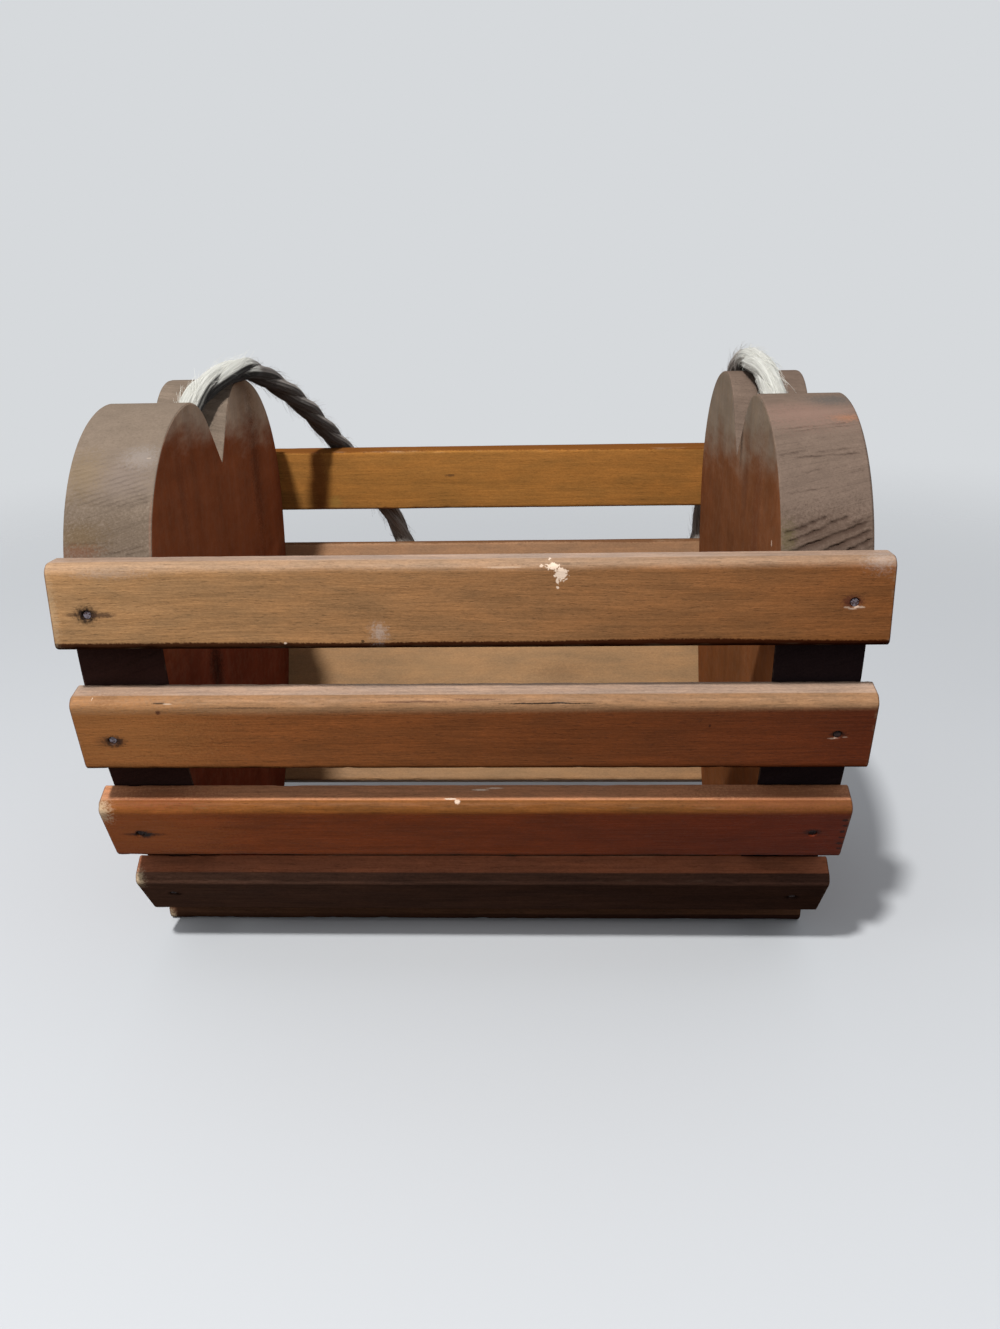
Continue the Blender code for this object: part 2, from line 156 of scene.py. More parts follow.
# Saw marks on the front of each rim, in millimetres: from and to (across the board, up from the widest
# place), then half width and depth
SAW_MARKS = {
    "left": (
        (-19.5, 65.6, -8, 69.5, 0.45, 0.12), (-19.5, 63.1, -4, 68.4, 0.45, 0.15),
        (-19.5, 60.6, 0, 67.2, 0.45, 0.18), (-19.5, 58.1, 6, 66.8, 0.45, 0.2),
        (-19.5, 55.6, 10, 65.6, 0.45, 0.22), (-19.5, 53.1, 14, 64.4, 0.45, 0.24),
        (-19.5, 50.6, 19.5, 63.4, 0.45, 0.26), (-19.5, 48.1, 19.5, 61, 0.45, 0.26),
        (-19.5, 45.6, 19.5, 58.6, 0.45, 0.26), (-18, 43.4, 19.5, 56.2, 0.45, 0.26),
        (-12.5, 43.2, 19.5, 53.8, 0.45, 0.26), (-5.5, 43.2, 19.5, 51.4, 0.45, 0.26),
        (1.5, 43.4, 19.5, 49.2, 0.45, 0.28), (8, 43.6, 19.5, 47.2, 0.45, 0.26),
        (-19.5, 27.5, 6, 27.9, 0.4, 0.2), (-11, 23.6, 2, 27, 0.45, 0.2), (-1.3, 22.6, 18.5, 27, 0.45, 0.28),
        (6, 22.4, 18.5, 24.8, 0.45, 0.26),
    ),
    "right": (
        (-18, 98.2, 9, 104.5, 0.4, 0.2), (-20, 80.6, 18, 86.1, 0.4, 0.45), (-19, 78.6, 19, 84, 0.35, 0.4),
        (-19, 65.2, -6, 68.1, 0.4, 0.45), (-16, 64, 19, 66.4, 0.4, 0.5), (-4, 66.6, 15, 69.6, 0.4, 0.42),
        (-9, 55.9, 0, 58.6, 0.35, 0.36), (3, 57.9, 11, 60.1, 0.35, 0.3), (10, 55.7, 18, 58, 0.35, 0.28),
        (-17, 46.3, 3, 49.6, 0.35, 0.4), (4, 46.4, 12, 49, 0.35, 0.28), (-16.8, 34.4, -13.5, 35.6, 0.4, 0.3),
        (-19, 28.9, -7, 33, 0.6, 0.85), (-10.2, 32.3, 0.6, 36.6, 0.55, 0.75),
        (-18, 25.1, 1.6, 32.6, 0.6, 0.95), (-1.6, 32.5, 9.6, 36.5, 0.55, 0.8),
        (-19, 20, 19.5, 34.9, 0.65, 1.05), (7, 31.9, 19.4, 36.4, 0.45, 0.5),
        (-6, 19.7, 19.5, 30.8, 0.65, 1.05), (5.4, 20.2, 19.5, 27.1, 0.6, 0.95),
        (16, 22, 19.2, 23.6, 0.4, 0.4),
    ),
}
LOOSE_SAW_MARKS = 46
LOOSE_MARK_SEEDS = {"left": 11, "right": 23}
# How far up from its widest place the photograph shows the front of the rim
SEEN_RIM_START = 0.021
# How deep a saw mark cuts where its painted shade is full, in metres
SAW_SHADE_FULL_DEPTH = {"left": 0.00034, "right": 0.00050}

# Colours are written as they look, 0 to 255
BURNT = (18, 11, 10)
SOOT = (58, 40, 32)
RUST = (70, 34, 26)
CHALK = (224, 200, 178)
# Pale wood, on worn edges and, partly as a painted highlight, at the slats' left ends
BARE_WOOD_AND_HIGHLIGHT = (214, 190, 156)
DUST = (178, 166, 158)
END_GRAIN = ((62, 38, 26), (112, 74, 48))
# Painted shade in the saw grooves
SAW_GROOVE_SHADE = (44, 31, 26)
WORN_HEART = (150, 122, 100)
COOLER = (0.98, 0.995, 1.015, 1.0)
WARMER = (1.03, 0.99, 0.945, 1.0)
# Wood stains and painted shade: the face's left end and its right one, the top edge, a band along the top of
# the face, and a painted shade along the foot, whose rounding faces down away from the light
SLAT_STAINS_AND_SHADE = {
    "front_slat_1": ((158, 121, 83), (115, 71, 38), (148, 124, 107), (150, 124, 101), (42, 11, 4)),
    "front_slat_2": ((142, 88, 48), (89, 40, 20), (156, 131, 113), (155, 122, 90), (42, 12, 6)),
    "front_slat_3": ((140, 70, 30), (97, 35, 14), (174, 121, 87), (111, 75, 35), (38, 13, 6)),
    # Partly painted shade: this slat faces down, away from the light, and is written darker than its stain
    "front_slat_4": ((98, 70, 57), (70, 47, 38), (148, 90, 64), (122, 72, 50), (48, 28, 20)),
    "rear_slat_1": ((151, 104, 51), (155, 105, 52), (152, 106, 62), (152, 106, 62), (110, 66, 30)),
    "rear_slat_2": ((153, 117, 88), (148, 113, 84), (156, 121, 94), (156, 121, 94), (108, 74, 50)),
    "rear_slat_3": ((154, 120, 85), (150, 118, 84), (156, 122, 90), (156, 122, 90), (106, 76, 52)),
    "rear_slat_4": ((143, 109, 76), (139, 106, 74), (146, 113, 82), (146, 113, 82), (100, 72, 50)),
    # Partly painted shade: this slat lies under the one above it and is written darker than its stain
    "bottom_slat_front": ((78, 52, 38), (52, 32, 26), (88, 60, 44), (88, 60, 44), (42, 26, 20)),
    "bottom_slat_rear": ((96, 74, 56), (84, 58, 42), (104, 78, 56), (104, 78, 56), (60, 40, 28)),
}
DULL_SLATS = ("front_slat_4", "bottom_slat_front", "bottom_slat_rear")
STREAK_SHARES = {"rear_slat_2": 0.45, "rear_slat_3": 0.3, "rear_slat_4": 0.45, "rear_slat_1": 0.8}
WOOD_SPECULAR = 0.08
# How far up a slat's face its upper band begins, in millimetres, at the left end and at the right
UPPER_BAND_FROM = {"front_slat_1": (15.5, 15.5), "front_slat_2": (12.0, 13.8), "front_slat_3": (14.4, 14.8)}
NO_UPPER_BAND = (30.0, 30.0)
# How wide the painted shade along a slat's foot is, in millimetres
FOOT_SHADE_WIDTHS = {"front_slat_1": 3.2, "front_slat_2": 1.5}
PLAIN_FOOT_SHADE_WIDTH = 1.1

# Kinds of mark: how ragged and how soft their edges are
MARK_KINDS = {"stain": (0.9, 0.55), "chip": (1.5, 0.12), "scratch": (0.8, 0.35), "smudge": (2.2, 0.95)}
MARK_DEPTH = 0.005
# Marks on the slats: kind, then in millimetres the centre along and across and the half length and half
# width, then colour and share
SLAT_MARKS = {
    "front_slat_1": (
        ("stain", -162, -2.9, 4.6, 3.4, BURNT, 0.97), ("stain", -155.5, -3.1, 5.4, 1, SOOT, 0.75),
        ("stain", -168, -2.9, 3.4, 0.8, SOOT, 0.55), ("stain", 160.8, 0.2, 4, 2.6, RUST, 0.85),
        ("scratch", 163.8, -1.9, 2.4, 0.45, CHALK, 0.45), ("scratch", 161, -2.6, 1.6, 0.4, CHALK, 0.45),
        ("scratch", 158.6, -2, 1.2, 0.4, CHALK, 0.35), ("chip", 37.1, 16.5, 2.7, 1.3, CHALK, 0.95),
        ("chip", 40.4, 13.2, 2.7, 2.5, CHALK, 0.95), ("chip", 38.9, 10.2, 0.7, 1.1, CHALK, 0.9),
        ("chip", 35.7, 19, 0.6, 0.6, CHALK, 0.9), ("chip", 39, 7.5, 0.5, 0.5, CHALK, 0.85),
        ("chip", 32.3, 16.7, 0.8, 0.5, CHALK, 0.7), ("scratch", 16.8, 16.2, 7.5, 0.35, CHALK, 0.3),
        ("smudge", -36.8, -11.5, 2.8, 3.2, DUST, 0.45), ("chip", -43.8, -15.3, 0.8, 0.6, BURNT, 0.7),
        ("chip", -77.3, -16, 0.7, 0.5, CHALK, 0.7), ("smudge", 172, 18.6, 5.5, 4, DUST, 0.35),
        # The pale mark at the left end is partly bare wood and partly a painted highlight on the end, which
        # faces the light
        ("smudge", -177, -2, 2, 15, BARE_WOOD_AND_HIGHLIGHT, 0.22), ("smudge", -150, 14.6, 12, 1.4, DUST, 0.22),
    ),
    "front_slat_2": (
        ("smudge", -160, 2, 34, 17, (166, 112, 64), 0.5), ("stain", -161.2, -2.6, 4.4, 2.6, BURNT, 0.92),
        ("stain", -163, -2.7, 6.5, 3, SOOT, 0.4), ("stain", 162, 0.2, 3, 1.7, BURNT, 0.8),
        ("scratch", 159.8, -1.9, 1.8, 0.4, CHALK, 0.35), ("scratch", 165.2, -1.2, 1.2, 0.4, CHALK, 0.25),
        ("scratch", -137.3, 17.5, 2.8, 0.3, BURNT, 0.75), ("scratch", -133.4, 17.2, 2, 0.25, CHALK, 0.45),
        ("stain", -138.1, 13.2, 1.1, 1, RUST, 0.8), ("scratch", -99, 15.5, 14.5, 0.35, SOOT, 0.6),
        ("scratch", -24.5, 17.6, 17, 0.3, RUST, 0.55), ("scratch", 3, 18.2, 11, 0.3, RUST, 0.55),
        ("scratch", 34, 16.8, 20, 0.26, BURNT, 0.9), ("smudge", -162, 20, 5, 2.4, SOOT, 0.3),
        ("chip", -167.8, 20.5, 1.4, 1.6, CHALK, 0.75), ("chip", 105.8, 5.1, 0.4, 0.9, BURNT, 0.6),
    ),
    "front_slat_3": (
        # The pale mark at the top left corner is partly bare wood and partly a painted highlight
        ("smudge", -160, 2, 34, 17, (160, 92, 46), 0.5), ("smudge", -177.5, 15.5, 4.2, 5.4, BARE_WOOD_AND_HIGHLIGHT, 0.8),
        ("stain", -160, -1, 4, 2.6, BURNT, 0.97), ("stain", -160, -1, 9.5, 1.1, BURNT, 0.75),
        ("stain", 161.6, 1, 3.8, 2.2, BURNT, 0.75), ("chip", 175.4, 10, 1.5, 0.8, BURNT, 0.85),
        ("chip", 175.8, 6, 1.5, 0.7, BURNT, 0.8), ("chip", 175.4, 1.5, 1.6, 0.8, BURNT, 0.85),
        ("chip", 175.9, -3, 1.4, 0.7, BURNT, 0.8), ("chip", 175.6, -7.5, 1.5, 0.8, BURNT, 0.8),
        ("chip", 176, -11.5, 1.3, 0.7, BURNT, 0.75),
    ),
    "front_slat_4": (
        # The pale mark at the top left corner is partly bare wood and partly a painted highlight
        ("smudge", -176, 17, 2.2, 4, BARE_WOOD_AND_HIGHLIGHT, 0.85), ("stain", -161.2, 2.2, 3.4, 2.2, BURNT, 0.8),
        ("stain", 161.6, 0, 3.4, 2.2, BURNT, 0.8),
    ),
    "bottom_slat_front": (
        # The pale mark at the top left corner is partly bare wood and partly a painted highlight
        ("smudge", -177, 18.4, 2, 3, BARE_WOOD_AND_HIGHLIGHT, 0.92), ("stain", -160, 0, 3.4, 2.4, BURNT, 0.8),
        ("stain", 160, 0, 3.4, 2.4, BURNT, 0.8),
    ),
    "rear_slat_1": (
        ("stain", -24.3, -2.9, 3, 0.8, SOOT, 0.6), ("stain", -100, 14, 4, 4, (150, 120, 60), 0.4),
        # Painted shadow of the rope: a dark red-brown band down the inner face near the left end
        ("stain", -109.5, 0, 4.6, 24, (96, 40, 20), 0.45),
    ),
    "rear_slat_2": (("stain", -60, 4, 20, 1.4, SOOT, 0.35),),
    "rear_slat_3": (
        ("smudge", -40, 4, 18, 6, (160, 126, 88), 0.35), ("smudge", 48, 8, 14, 5, (112, 80, 54), 0.3),
    ),
    "rear_slat_4": (("smudge", 10, 14, 60, 3, (150, 118, 80), 0.3),),
    "bottom_slat_rear": (("stain", -160, 0, 3.4, 2.4, BURNT, 0.8), ("stain", 160, 0, 3.4, 2.4, BURNT, 0.8)),
}
# Marks on a slat's top edge: the same, but to the front instead of across
TOP_EDGE_MARKS = {
    "front_slat_3": (
        ("scratch", -9.4, 1.8, 2.6, 0.5, CHALK, 0.9), ("scratch", -6.2, 3.4, 1.2, 1.2, CHALK, 0.8),
        ("scratch", 4.6, -3.7, 3.4, 0.5, CHALK, 0.9), ("scratch", 11.4, -4.7, 3.6, 0.45, CHALK, 0.85),
        ("smudge", -148, 0, 22, 6, (112, 54, 34), 0.5), ("smudge", 150, 0, 36, 8, (128, 72, 46), 0.5),
    ),
}

# Hearts: the inner face's top, its main part and its foot, the rim above the slats and the rim between them,
# which is dark partly from its own stain and partly from painted shade
HEART_STAINS_AND_SHADE = {
    "left": ((178, 156, 135), (145, 84, 54), (117, 59, 41), (115, 101, 88), (57, 38, 34)),
    "right": ((136, 121, 105), (124, 78, 50), (135, 85, 51), (105, 89, 78), (42, 32, 33)),
}
HEART_SEEDS = {"left": 4.3, "right": 9.1}
HEART_FADE = {"left": (0.254, 0.282), "right": (0.238, 0.270)}
HEART_FOOT_FADE = (0.150, 0.205)
SAW_LINES_UNDER = {"left": (0.070, 0.079), "right": (0.125, 0.135)}
# Marks on the front of the rims: kind, then in millimetres the place across the board and up from its
# widest place and the half sizes, then colour and share
HEART_MARKS = {
    "left": (
        ("smudge", 12, 69, 7, 5, (150, 142, 136), 0.4), ("chip", 15, 68.4, 0.9, 0.4, CHALK, 0.2),
        ("smudge", 4, 58, 12, 9, (132, 118, 110), 0.4), ("smudge", -13, 60, 8, 10, (128, 108, 80), 0.45),
        ("smudge", -12, 30.5, 9, 5, (112, 88, 50), 0.5), ("smudge", 0, 32, 26, 12, (88, 74, 60), 0.5),
        ("smudge", -13, 24, 8, 2.6, (112, 72, 54), 0.5), ("stain", 18.9, 34, 0.5, 14, (150, 104, 86), 0.25),
    ),
    "right": (
        ("smudge", 14, 89, 5.5, 2.2, (158, 100, 58), 0.5), ("smudge", -2, 93, 22, 9, (136, 107, 95), 0.55),
        ("smudge", 12, 108, 9, 6, (84, 80, 76), 0.75), ("smudge", 4, 28, 20, 9, (76, 60, 50), 0.55),
        ("smudge", -17, 27, 3, 6, (92, 84, 56), 0.5), ("stain", 19.2, 44, 0.5, 40, (60, 50, 46), 0.5),
    ),
}
# Marks on the hearts' faces: kind, then in millimetres the place to the rear and up and the half sizes,
# then colour and share
HEART_FACE_MARKS = {
    "left": (
        ("smudge", -50, 152, 8, 16, (40, 26, 22), 0.8), ("smudge", -70, 248, 4, 24, (110, 66, 48), 0.3),
        # Painted shade: a dark band near the left face's rear edge, where it meets the rear slats
        ("smudge", 66, 232, 8, 34, (70, 40, 30), 0.55),
    ),
    "right": (
        ("smudge", -12, 264, 2.4, 12, (62, 48, 42), 0.7), ("smudge", -19, 260, 1.8, 9, (140, 116, 98), 0.4),
        ("smudge", -28, 244, 6, 14, (96, 66, 52), 0.4), ("smudge", -62, 222, 8, 40, (88, 50, 36), 0.4),
        ("chip", -100.9, 231.1, 1.1, 1.3, CHALK, 0.6),
    ),
}

# Rope: how far from its left and right ends it turns from cream to grey, and how far its left part is grimy;
# then the colours in and on its fibres, and the painted shade on the side turned down and away from the
# light
CREAM_LEFT = (0.096, 0.113)
CREAM_RIGHT = (0.095, 0.130)
GRIMY_TO = (0.118, 0.145)
ROPE_CREAM = ((168, 166, 157), (203, 202, 194))
ROPE_GREY = ((112, 103, 95), (164, 155, 146))
ROPE_GRIME = ((70, 62, 56), (122, 112, 104))
ROPE_BLOTCH = (88, 78, 70)
ROPE_SHADE = (15, 12, 11)
LOOSE_FIBRE_LIFT = 1.25

# Nails: two tones of steel and one of rust
BRIGHT_STEEL = ((92, 84, 90), (150, 142, 150), (52, 32, 30))
RUSTED_STEEL = ((40, 28, 26), (66, 52, 50), (30, 18, 16))
BRIGHT_NAILS = ("front_nail_1_left", "front_nail_1_right", "front_nail_2_left")

# The studio
LAMP_AIM = (0, 0, 0.15)
FLOOR_RADIUS = 3.0

# The kind of a group's input, by the type of its value
SOCKET_KINDS = {float: "Float", int: "Int", tuple: "Vector"}


def paint(red, green, blue):
    """A colour written as it looks, 0 to 255, in the linear numbers that the nodes take."""
    shares = (red / 255, green / 255, blue / 255)
    return (*(c / 12.92 if c <= 0.04045 else ((c + 0.055) / 1.055) ** 2.4 for c in shares), 1.0)


def is_vector(value):
    return isinstance(value, tuple) or isinstance(value, Wire) and value.socket.type in ("VECTOR", "RGBA")


class Wire:
    """A value in a node tree. Arithmetic on it adds the maths node that works the result out."""

    def __init__(self, make, socket):
        self.make = make
        self.socket = socket

    def __add__(self, other):
        return self.make.maths("ADD", self, other)

    def __sub__(self, other):
        return self.make.maths("SUBTRACT", self, other)

    def __rsub__(self, other):
        return self.make.maths("SUBTRACT", other, self)

    def __mul__(self, other):
        return self.make.maths("MULTIPLY", self, other)

    def __truediv__(self, other):
        return self.make.maths("DIVIDE", self, other)

    def __pow__(self, other):
        return self.make.maths("POWER", self, other)

    def __abs__(self):
        return self.make.maths("ABSOLUTE", self)

    def maths(self, operation, *others):
        return self.make.maths(operation, self, *others)

    def fit(self, low, high, to_low=0, to_high=1, kind="SMOOTHSTEP"):
        """The stretch from low to high, eased onto another one."""
        inputs = {"Value": self, "From Min": low, "From Max": high, "To Min": to_low, "To Max": to_high}
        return self.make.add("ShaderNodeMapRange", inputs, interpolation_type=kind)

    def ramp(self, low, high, to_low=0, to_high=1):
        return self.fit(low, high, to_low, to_high, "LINEAR")

    def swing(self, reach, share):
        """A factor from 1 - share to 1 + share, as the value goes through its reach round a half."""
        return self.ramp(0.5 - reach, 0.5 + reach, 1 - share, 1 + share)

    def noise(self, scale=1, detail=2, roughness=0.5):
        inputs = {"Vector": self, "Scale": scale, "Detail": detail, "Roughness": roughness}
        return self.make.add("ShaderNodeTexNoise", inputs)

    def split(self):
        return self.make.outputs("ShaderNodeSeparateXYZ", {"Vector": self}).values()


class Maker:
    """Adds nodes to one tree and wires them as it goes. An input is a value, a wire or a tuple of both."""

    def __init__(self, tree):
        self.tree = tree

    def join(self, value, socket):
        if isinstance(value, tuple) and any(isinstance(part, Wire) for part in value):
            value = self.combine(*value)
        if isinstance(value, Wire):
            self.tree.links.new(value.socket, socket)
        else:
            socket.default_value = value

    def outputs(self, kind, inputs=None, **settings):
        """A new node's outputs by name. Its inputs are given by name or by number."""
        node = self.tree.nodes.new(kind)
        for name, value in settings.items():
            setattr(node, name, value)
        for key, value in (inputs or {}).items():
            named = [socket for socket in node.inputs if socket.name == key and socket.enabled]
            self.join(value, named[0] if named else node.inputs[key])
        return {socket.name: Wire(self, socket) for socket in node.outputs if socket.enabled}

    def add(self, kind, inputs=None, **settings):
        """A new node's first output."""
        return next(iter(self.outputs(kind, inputs, **settings).values()))

    def maths(self, operation, *values):
        vectors = [is_vector(value) for value in values]
        if not any(vectors):
            return self.add("ShaderNodeMath", dict(enumerate(values)), operation=operation)
        if operation == "MULTIPLY" and not all(vectors):
            vector, share = values if vectors[0] else values[::-1]
            return self.add("ShaderNodeVectorMath", {0: vector, "Scale": share}, operation="SCALE")
        return self.add("ShaderNodeVectorMath", dict(enumerate(values)), operation=operation)

    def combine(self, x, y, z):
        return self.add("ShaderNodeCombineXYZ", {"X": x, "Y": y, "Z": z})

    def mix(self, share, a, b, kind="MIX"):
        inputs = {"Factor": share, "A": a, "B": b}
        return self.add("ShaderNodeMix", inputs, data_type="RGBA", blend_type=kind)

    def bump(self, height, strength, distance):
        return self.add("ShaderNodeBump", {"Height": height, "Strength": strength, "Distance": distance})

    def place(self):
        return self.outputs("ShaderNodeTexCoord")["Object"]

    def group(self, tree, inputs):
        return self.outputs("ShaderNodeGroup", inputs, node_tree=tree)

    def dress(self, inputs):
        """Sets inputs of the material's shader."""
        for name, value in inputs.items():
            self.join(value, self.tree.nodes["Principled BSDF"].inputs[name])

    def finish(self, results):
        """Gives the group its outputs by name, and returns it."""
        for name, wire in results.items():
            kind = "Geometry" if wire.socket.type == "GEOMETRY" else "Float"
            self.tree.interface.new_socket(name, in_out="OUTPUT", socket_type=f"NodeSocket{kind}")
        self.outputs("NodeGroupOutput", results)
        return self.tree

    def finish_mesh(self, mesh, material):
        whole = self.add("GeometryNodeRealizeInstances", {"Geometry": mesh})
        done = self.add("GeometryNodeSetMaterial", {"Geometry": whole, "Material": material})
        return self.finish({"Geometry": done})


def new_group(name, inputs, kind="ShaderNodeTree"):
    """A node group with named inputs, each given its value or its kind: its maker and its inputs' wires."""
    tree = bpy.data.node_groups.new(name, kind)
    for label, value in inputs.items():
        given = SOCKET_KINDS.get(type(value), value)
        socket = tree.interface.new_socket(label, in_out="INPUT", socket_type=f"NodeSocket{given}")
        if given != value:
            socket.default_value = value
    make = Maker(tree)
    return make, make.outputs("NodeGroupInput")


def new_mesh_maker(name, sizes):
    """An empty geometry tree that is given a mesh, named sizes and a finish."""
    return new_group(name, {"Geometry": "Geometry", **sizes, "Finish": "Material"}, "GeometryNodeTree")


def new_material(name):
    material = bpy.data.materials.new(name)
    material.use_nodes = True
    return material, Maker(material.node_tree)


def make_camera():
    pitch, yaw, roll = (math.radians(a) for a in (CAMERA_PITCH, CAMERA_YAW, CAMERA_ROLL))
    forward = Vector((math.sin(yaw) * math.cos(pitch), math.cos(yaw) * math.cos(pitch), -math.sin(pitch)))
    level = Vector((math.cos(yaw), -math.sin(yaw), 0))
    down = forward.cross(level)
    right = math.cos(roll) * level + math.sin(roll) * down
    up = math.sin(roll) * level - math.cos(roll) * down
    data = bpy.data.cameras.new("camera")
    data.sensor_width = SENSOR_SIZE
    data.lens = SENSOR_SIZE * FOCAL_PIXELS / IMAGE_HEIGHT
    camera = add_piece("camera", data)
    turned = Matrix((right, up, -forward)).transposed().to_4x4()
    camera.matrix_world = Matrix.Translation(CAMERA_PLACE) @ turned
    bpy.context.scene.camera = camera


def add_piece(name, data):
    piece = bpy.data.objects.new(name, data)
    bpy.context.scene.collection.objects.link(piece)
    return piece


def plain_mesh(carrier):
    """The evaluated mesh of an object, which is then removed."""
    bpy.context.view_layer.update()
    graph = bpy.context.evaluated_depsgraph_get()
    mesh = bpy.data.meshes.new_from_object(carrier.evaluated_get(graph), depsgraph=graph)
    bpy.data.objects.remove(carrier, do_unlink=True)
    return mesh


def run_tree(tree, mesh, values):
    """The plain mesh that a geometry tree makes, with values for its named inputs."""
    carrier = add_piece(tree.name, mesh)
    modifier = carrier.modifiers.new(tree.name, "NODES")
    modifier.node_group = tree
    for item in tree.interface.items_tree:
        if item.in_out == "INPUT" and item.name in values:
            modifier[item.identifier] = values[item.name]
    return plain_mesh(carrier)


def smooth_points(route, step):
    """Points about a step apart on a smooth curve through the route's own points."""
    before = 2 * Vector(route[0]) - Vector(route[1])
    after = 2 * Vector(route[-1]) - Vector(route[-2])
    knots = [before, *map(Vector, route), after]
    points = []
    for a, b, c, d in zip(knots, knots[1:], knots[2:], knots[3:]):
        count = max(1, round((c - b).length / step))
        for t in (index / count for index in range(count)):
            bend = (c - a) * t + (2 * a - 5 * b + 4 * c - d) * t**2 + (3 * b - a - 3 * c + d) * t**3
            points.append(b + bend / 2)
    return [*points, knots[-2]]


def make_rope_tree():
    """Twists strands round a line. They lie straight and flat at its ends, and full and round further in."""
    make, given = new_mesh_maker("rope_maker", ROPE_SIZES)

    def stored(geometry, name, value, kind="FLOAT"):
        inputs = {"Geometry": geometry, "Name": name, "Value": value}
        return make.add("GeometryNodeStoreNamedAttribute", inputs, data_type=kind, domain="POINT")

    def read(name):
        return make.add("GeometryNodeInputNamedAttribute", {"Name": name}, data_type="FLOAT")

    line = make.add("GeometryNodeMeshToCurve", {"Mesh": given["Geometry"]})
    inputs = {"Geometry": line, "Amount": given["Strand Count"]}
    copies = make.outputs("GeometryNodeDuplicateElements", inputs, domain="SPLINE")
    parameter = make.outputs("GeometryNodeSplineParameter")
    marked = stored(copies["Geometry"], "along", parameter["Length"])
    marked = stored(marked, "to_go", make.add("GeometryNodeSplineLength") - parameter["Length"])
    marked = stored(marked, "strand", copies["Duplicate Index"])
    place, index = read("along"), read("strand")
    from_end = place.maths("MINIMUM", read("to_go"))
    laid = from_end.fit(given["Loose End Start"], given["Loose End Stop"])
    pinch = (given["Pinch Start"], given["Pinch Stop"])
    angle = (place / given["Lay Length"] + index / given["Strand Count"]) * -math.tau
    normal = make.add("GeometryNodeInputNormal")
    tangent = make.add("GeometryNodeInputTangent")
    swing = normal * angle.maths("COSINE") + tangent.maths("CROSS_PRODUCT", normal) * angle.maths("SINE")
    reach = laid.ramp(0, 1, 0.15, 0.215) * from_end.fit(*pinch, 0.5, 1) * given["Diameter"]
    moved = make.add("GeometryNodeSetPosition", {"Geometry": marked, "Offset": swing * reach})
    moved = stored(moved, "heading", tangent, "FLOAT_VECTOR")
    flat = make.add("GeometryNodeInputPosition")
    inputs = {"Resolution": given["Strand Sides"], "Radius": 1}
    section = make.add("GeometryNodeCurvePrimitiveCircle", inputs)
    section = stored(section, "section", flat, "FLOAT_VECTOR")
    ridge = (parameter["Factor"] * math.tau * given["Yarn Count"]).maths("COSINE") * given["Yarn Ridge"] + 1
    section = make.add("GeometryNodeSetPosition", {"Geometry": section, "Position": flat * ridge})
    uneven = make.combine(place, index, 0).noise(42).ramp(0.3, 0.7, 0.92, 1.08)
    thickness = laid.ramp(0, 1, 0.42, 0.33) * uneven * from_end.fit(*pinch, 0.92, 1) * given["Diameter"]
    inputs = {"Curve": moved, "Profile Curve": section, "Scale": thickness, "Fill Caps": True}
    swept = make.add("GeometryNodeCurveToMesh", inputs)
    # Painted shade: a mask for the side of the rope that faces down and to the right, away from the light
    facing = normal.maths("DOT_PRODUCT", (-0.45, 0, 0.9))
    return make.finish_mesh(stored(swept, "underside", facing.fit(-0.02, -0.45)), given["Finish"])


def make_fibre_tree():
    """Loose fibres on a rope: each starts in its surface, runs within a spread and rises to a height."""
    make, given = new_mesh_maker("fibre_maker", FUZZ)
    seed, length, height, spread = (given[name] for name in ("Seed", "Fibre Length", "Height", "Spread"))
    inputs = {"Mesh": given["Geometry"], "Density": given["Density"], "Seed": seed}
    scatter = make.outputs("GeometryNodeDistributePointsOnFaces", inputs)
    inputs = {
        "Resolution": 6,
        "Start": (0, 0, -0.06),
        "Start Handle": (0.20, 0, height),
        "End Handle": (0.55, 0.05, height * 1.3),
        "End": (0.95, 0.16, height),
    }
    fibre = make.add("GeometryNodeCurvePrimitiveBezierSegment", inputs)
    inputs = {"Resolution": 3, "Radius": given["Fibre Radius"] / length}
    section = make.add("GeometryNodeCurvePrimitiveCircle", inputs)
    taper = make.add("GeometryNodeSplineParameter").ramp(0, 1, 1, 0.35)
    tube = make.add("GeometryNodeCurveToMesh", {"Curve": fibre, "Profile Curve": section, "Scale": taper})
    heading = make.add("GeometryNodeInputNamedAttribute", {"Name": "heading"}, data_type="FLOAT_VECTOR")
    inputs = {"Rotation": scatter["Rotation"], "Vector": heading}
    combed = make.add("FunctionNodeAlignRotationToVector", inputs, axis="X", pivot_axis="Z")
    size = make.add("FunctionNodeRandomValue", {"Min": 0.45, "Max": 1.25, "Seed": seed}, data_type="FLOAT")
    inputs = {"Points": scatter["Points"], "Instance": tube, "Rotation": combed, "Scale": size * length}
    placed = make.add("GeometryNodeInstanceOnPoints", inputs)
    inputs = {"Min": (-0.3, -0.15, spread * -1), "Max": (0.3, 0.15, spread), "Seed": seed}
    spin = make.add("FunctionNodeRandomValue", inputs, data_type="FLOAT_VECTOR")
    turned = make.add("GeometryNodeRotateInstances", {"Instances": placed, "Rotation": spin})
    return make.finish_mesh(turned, given["Finish"])


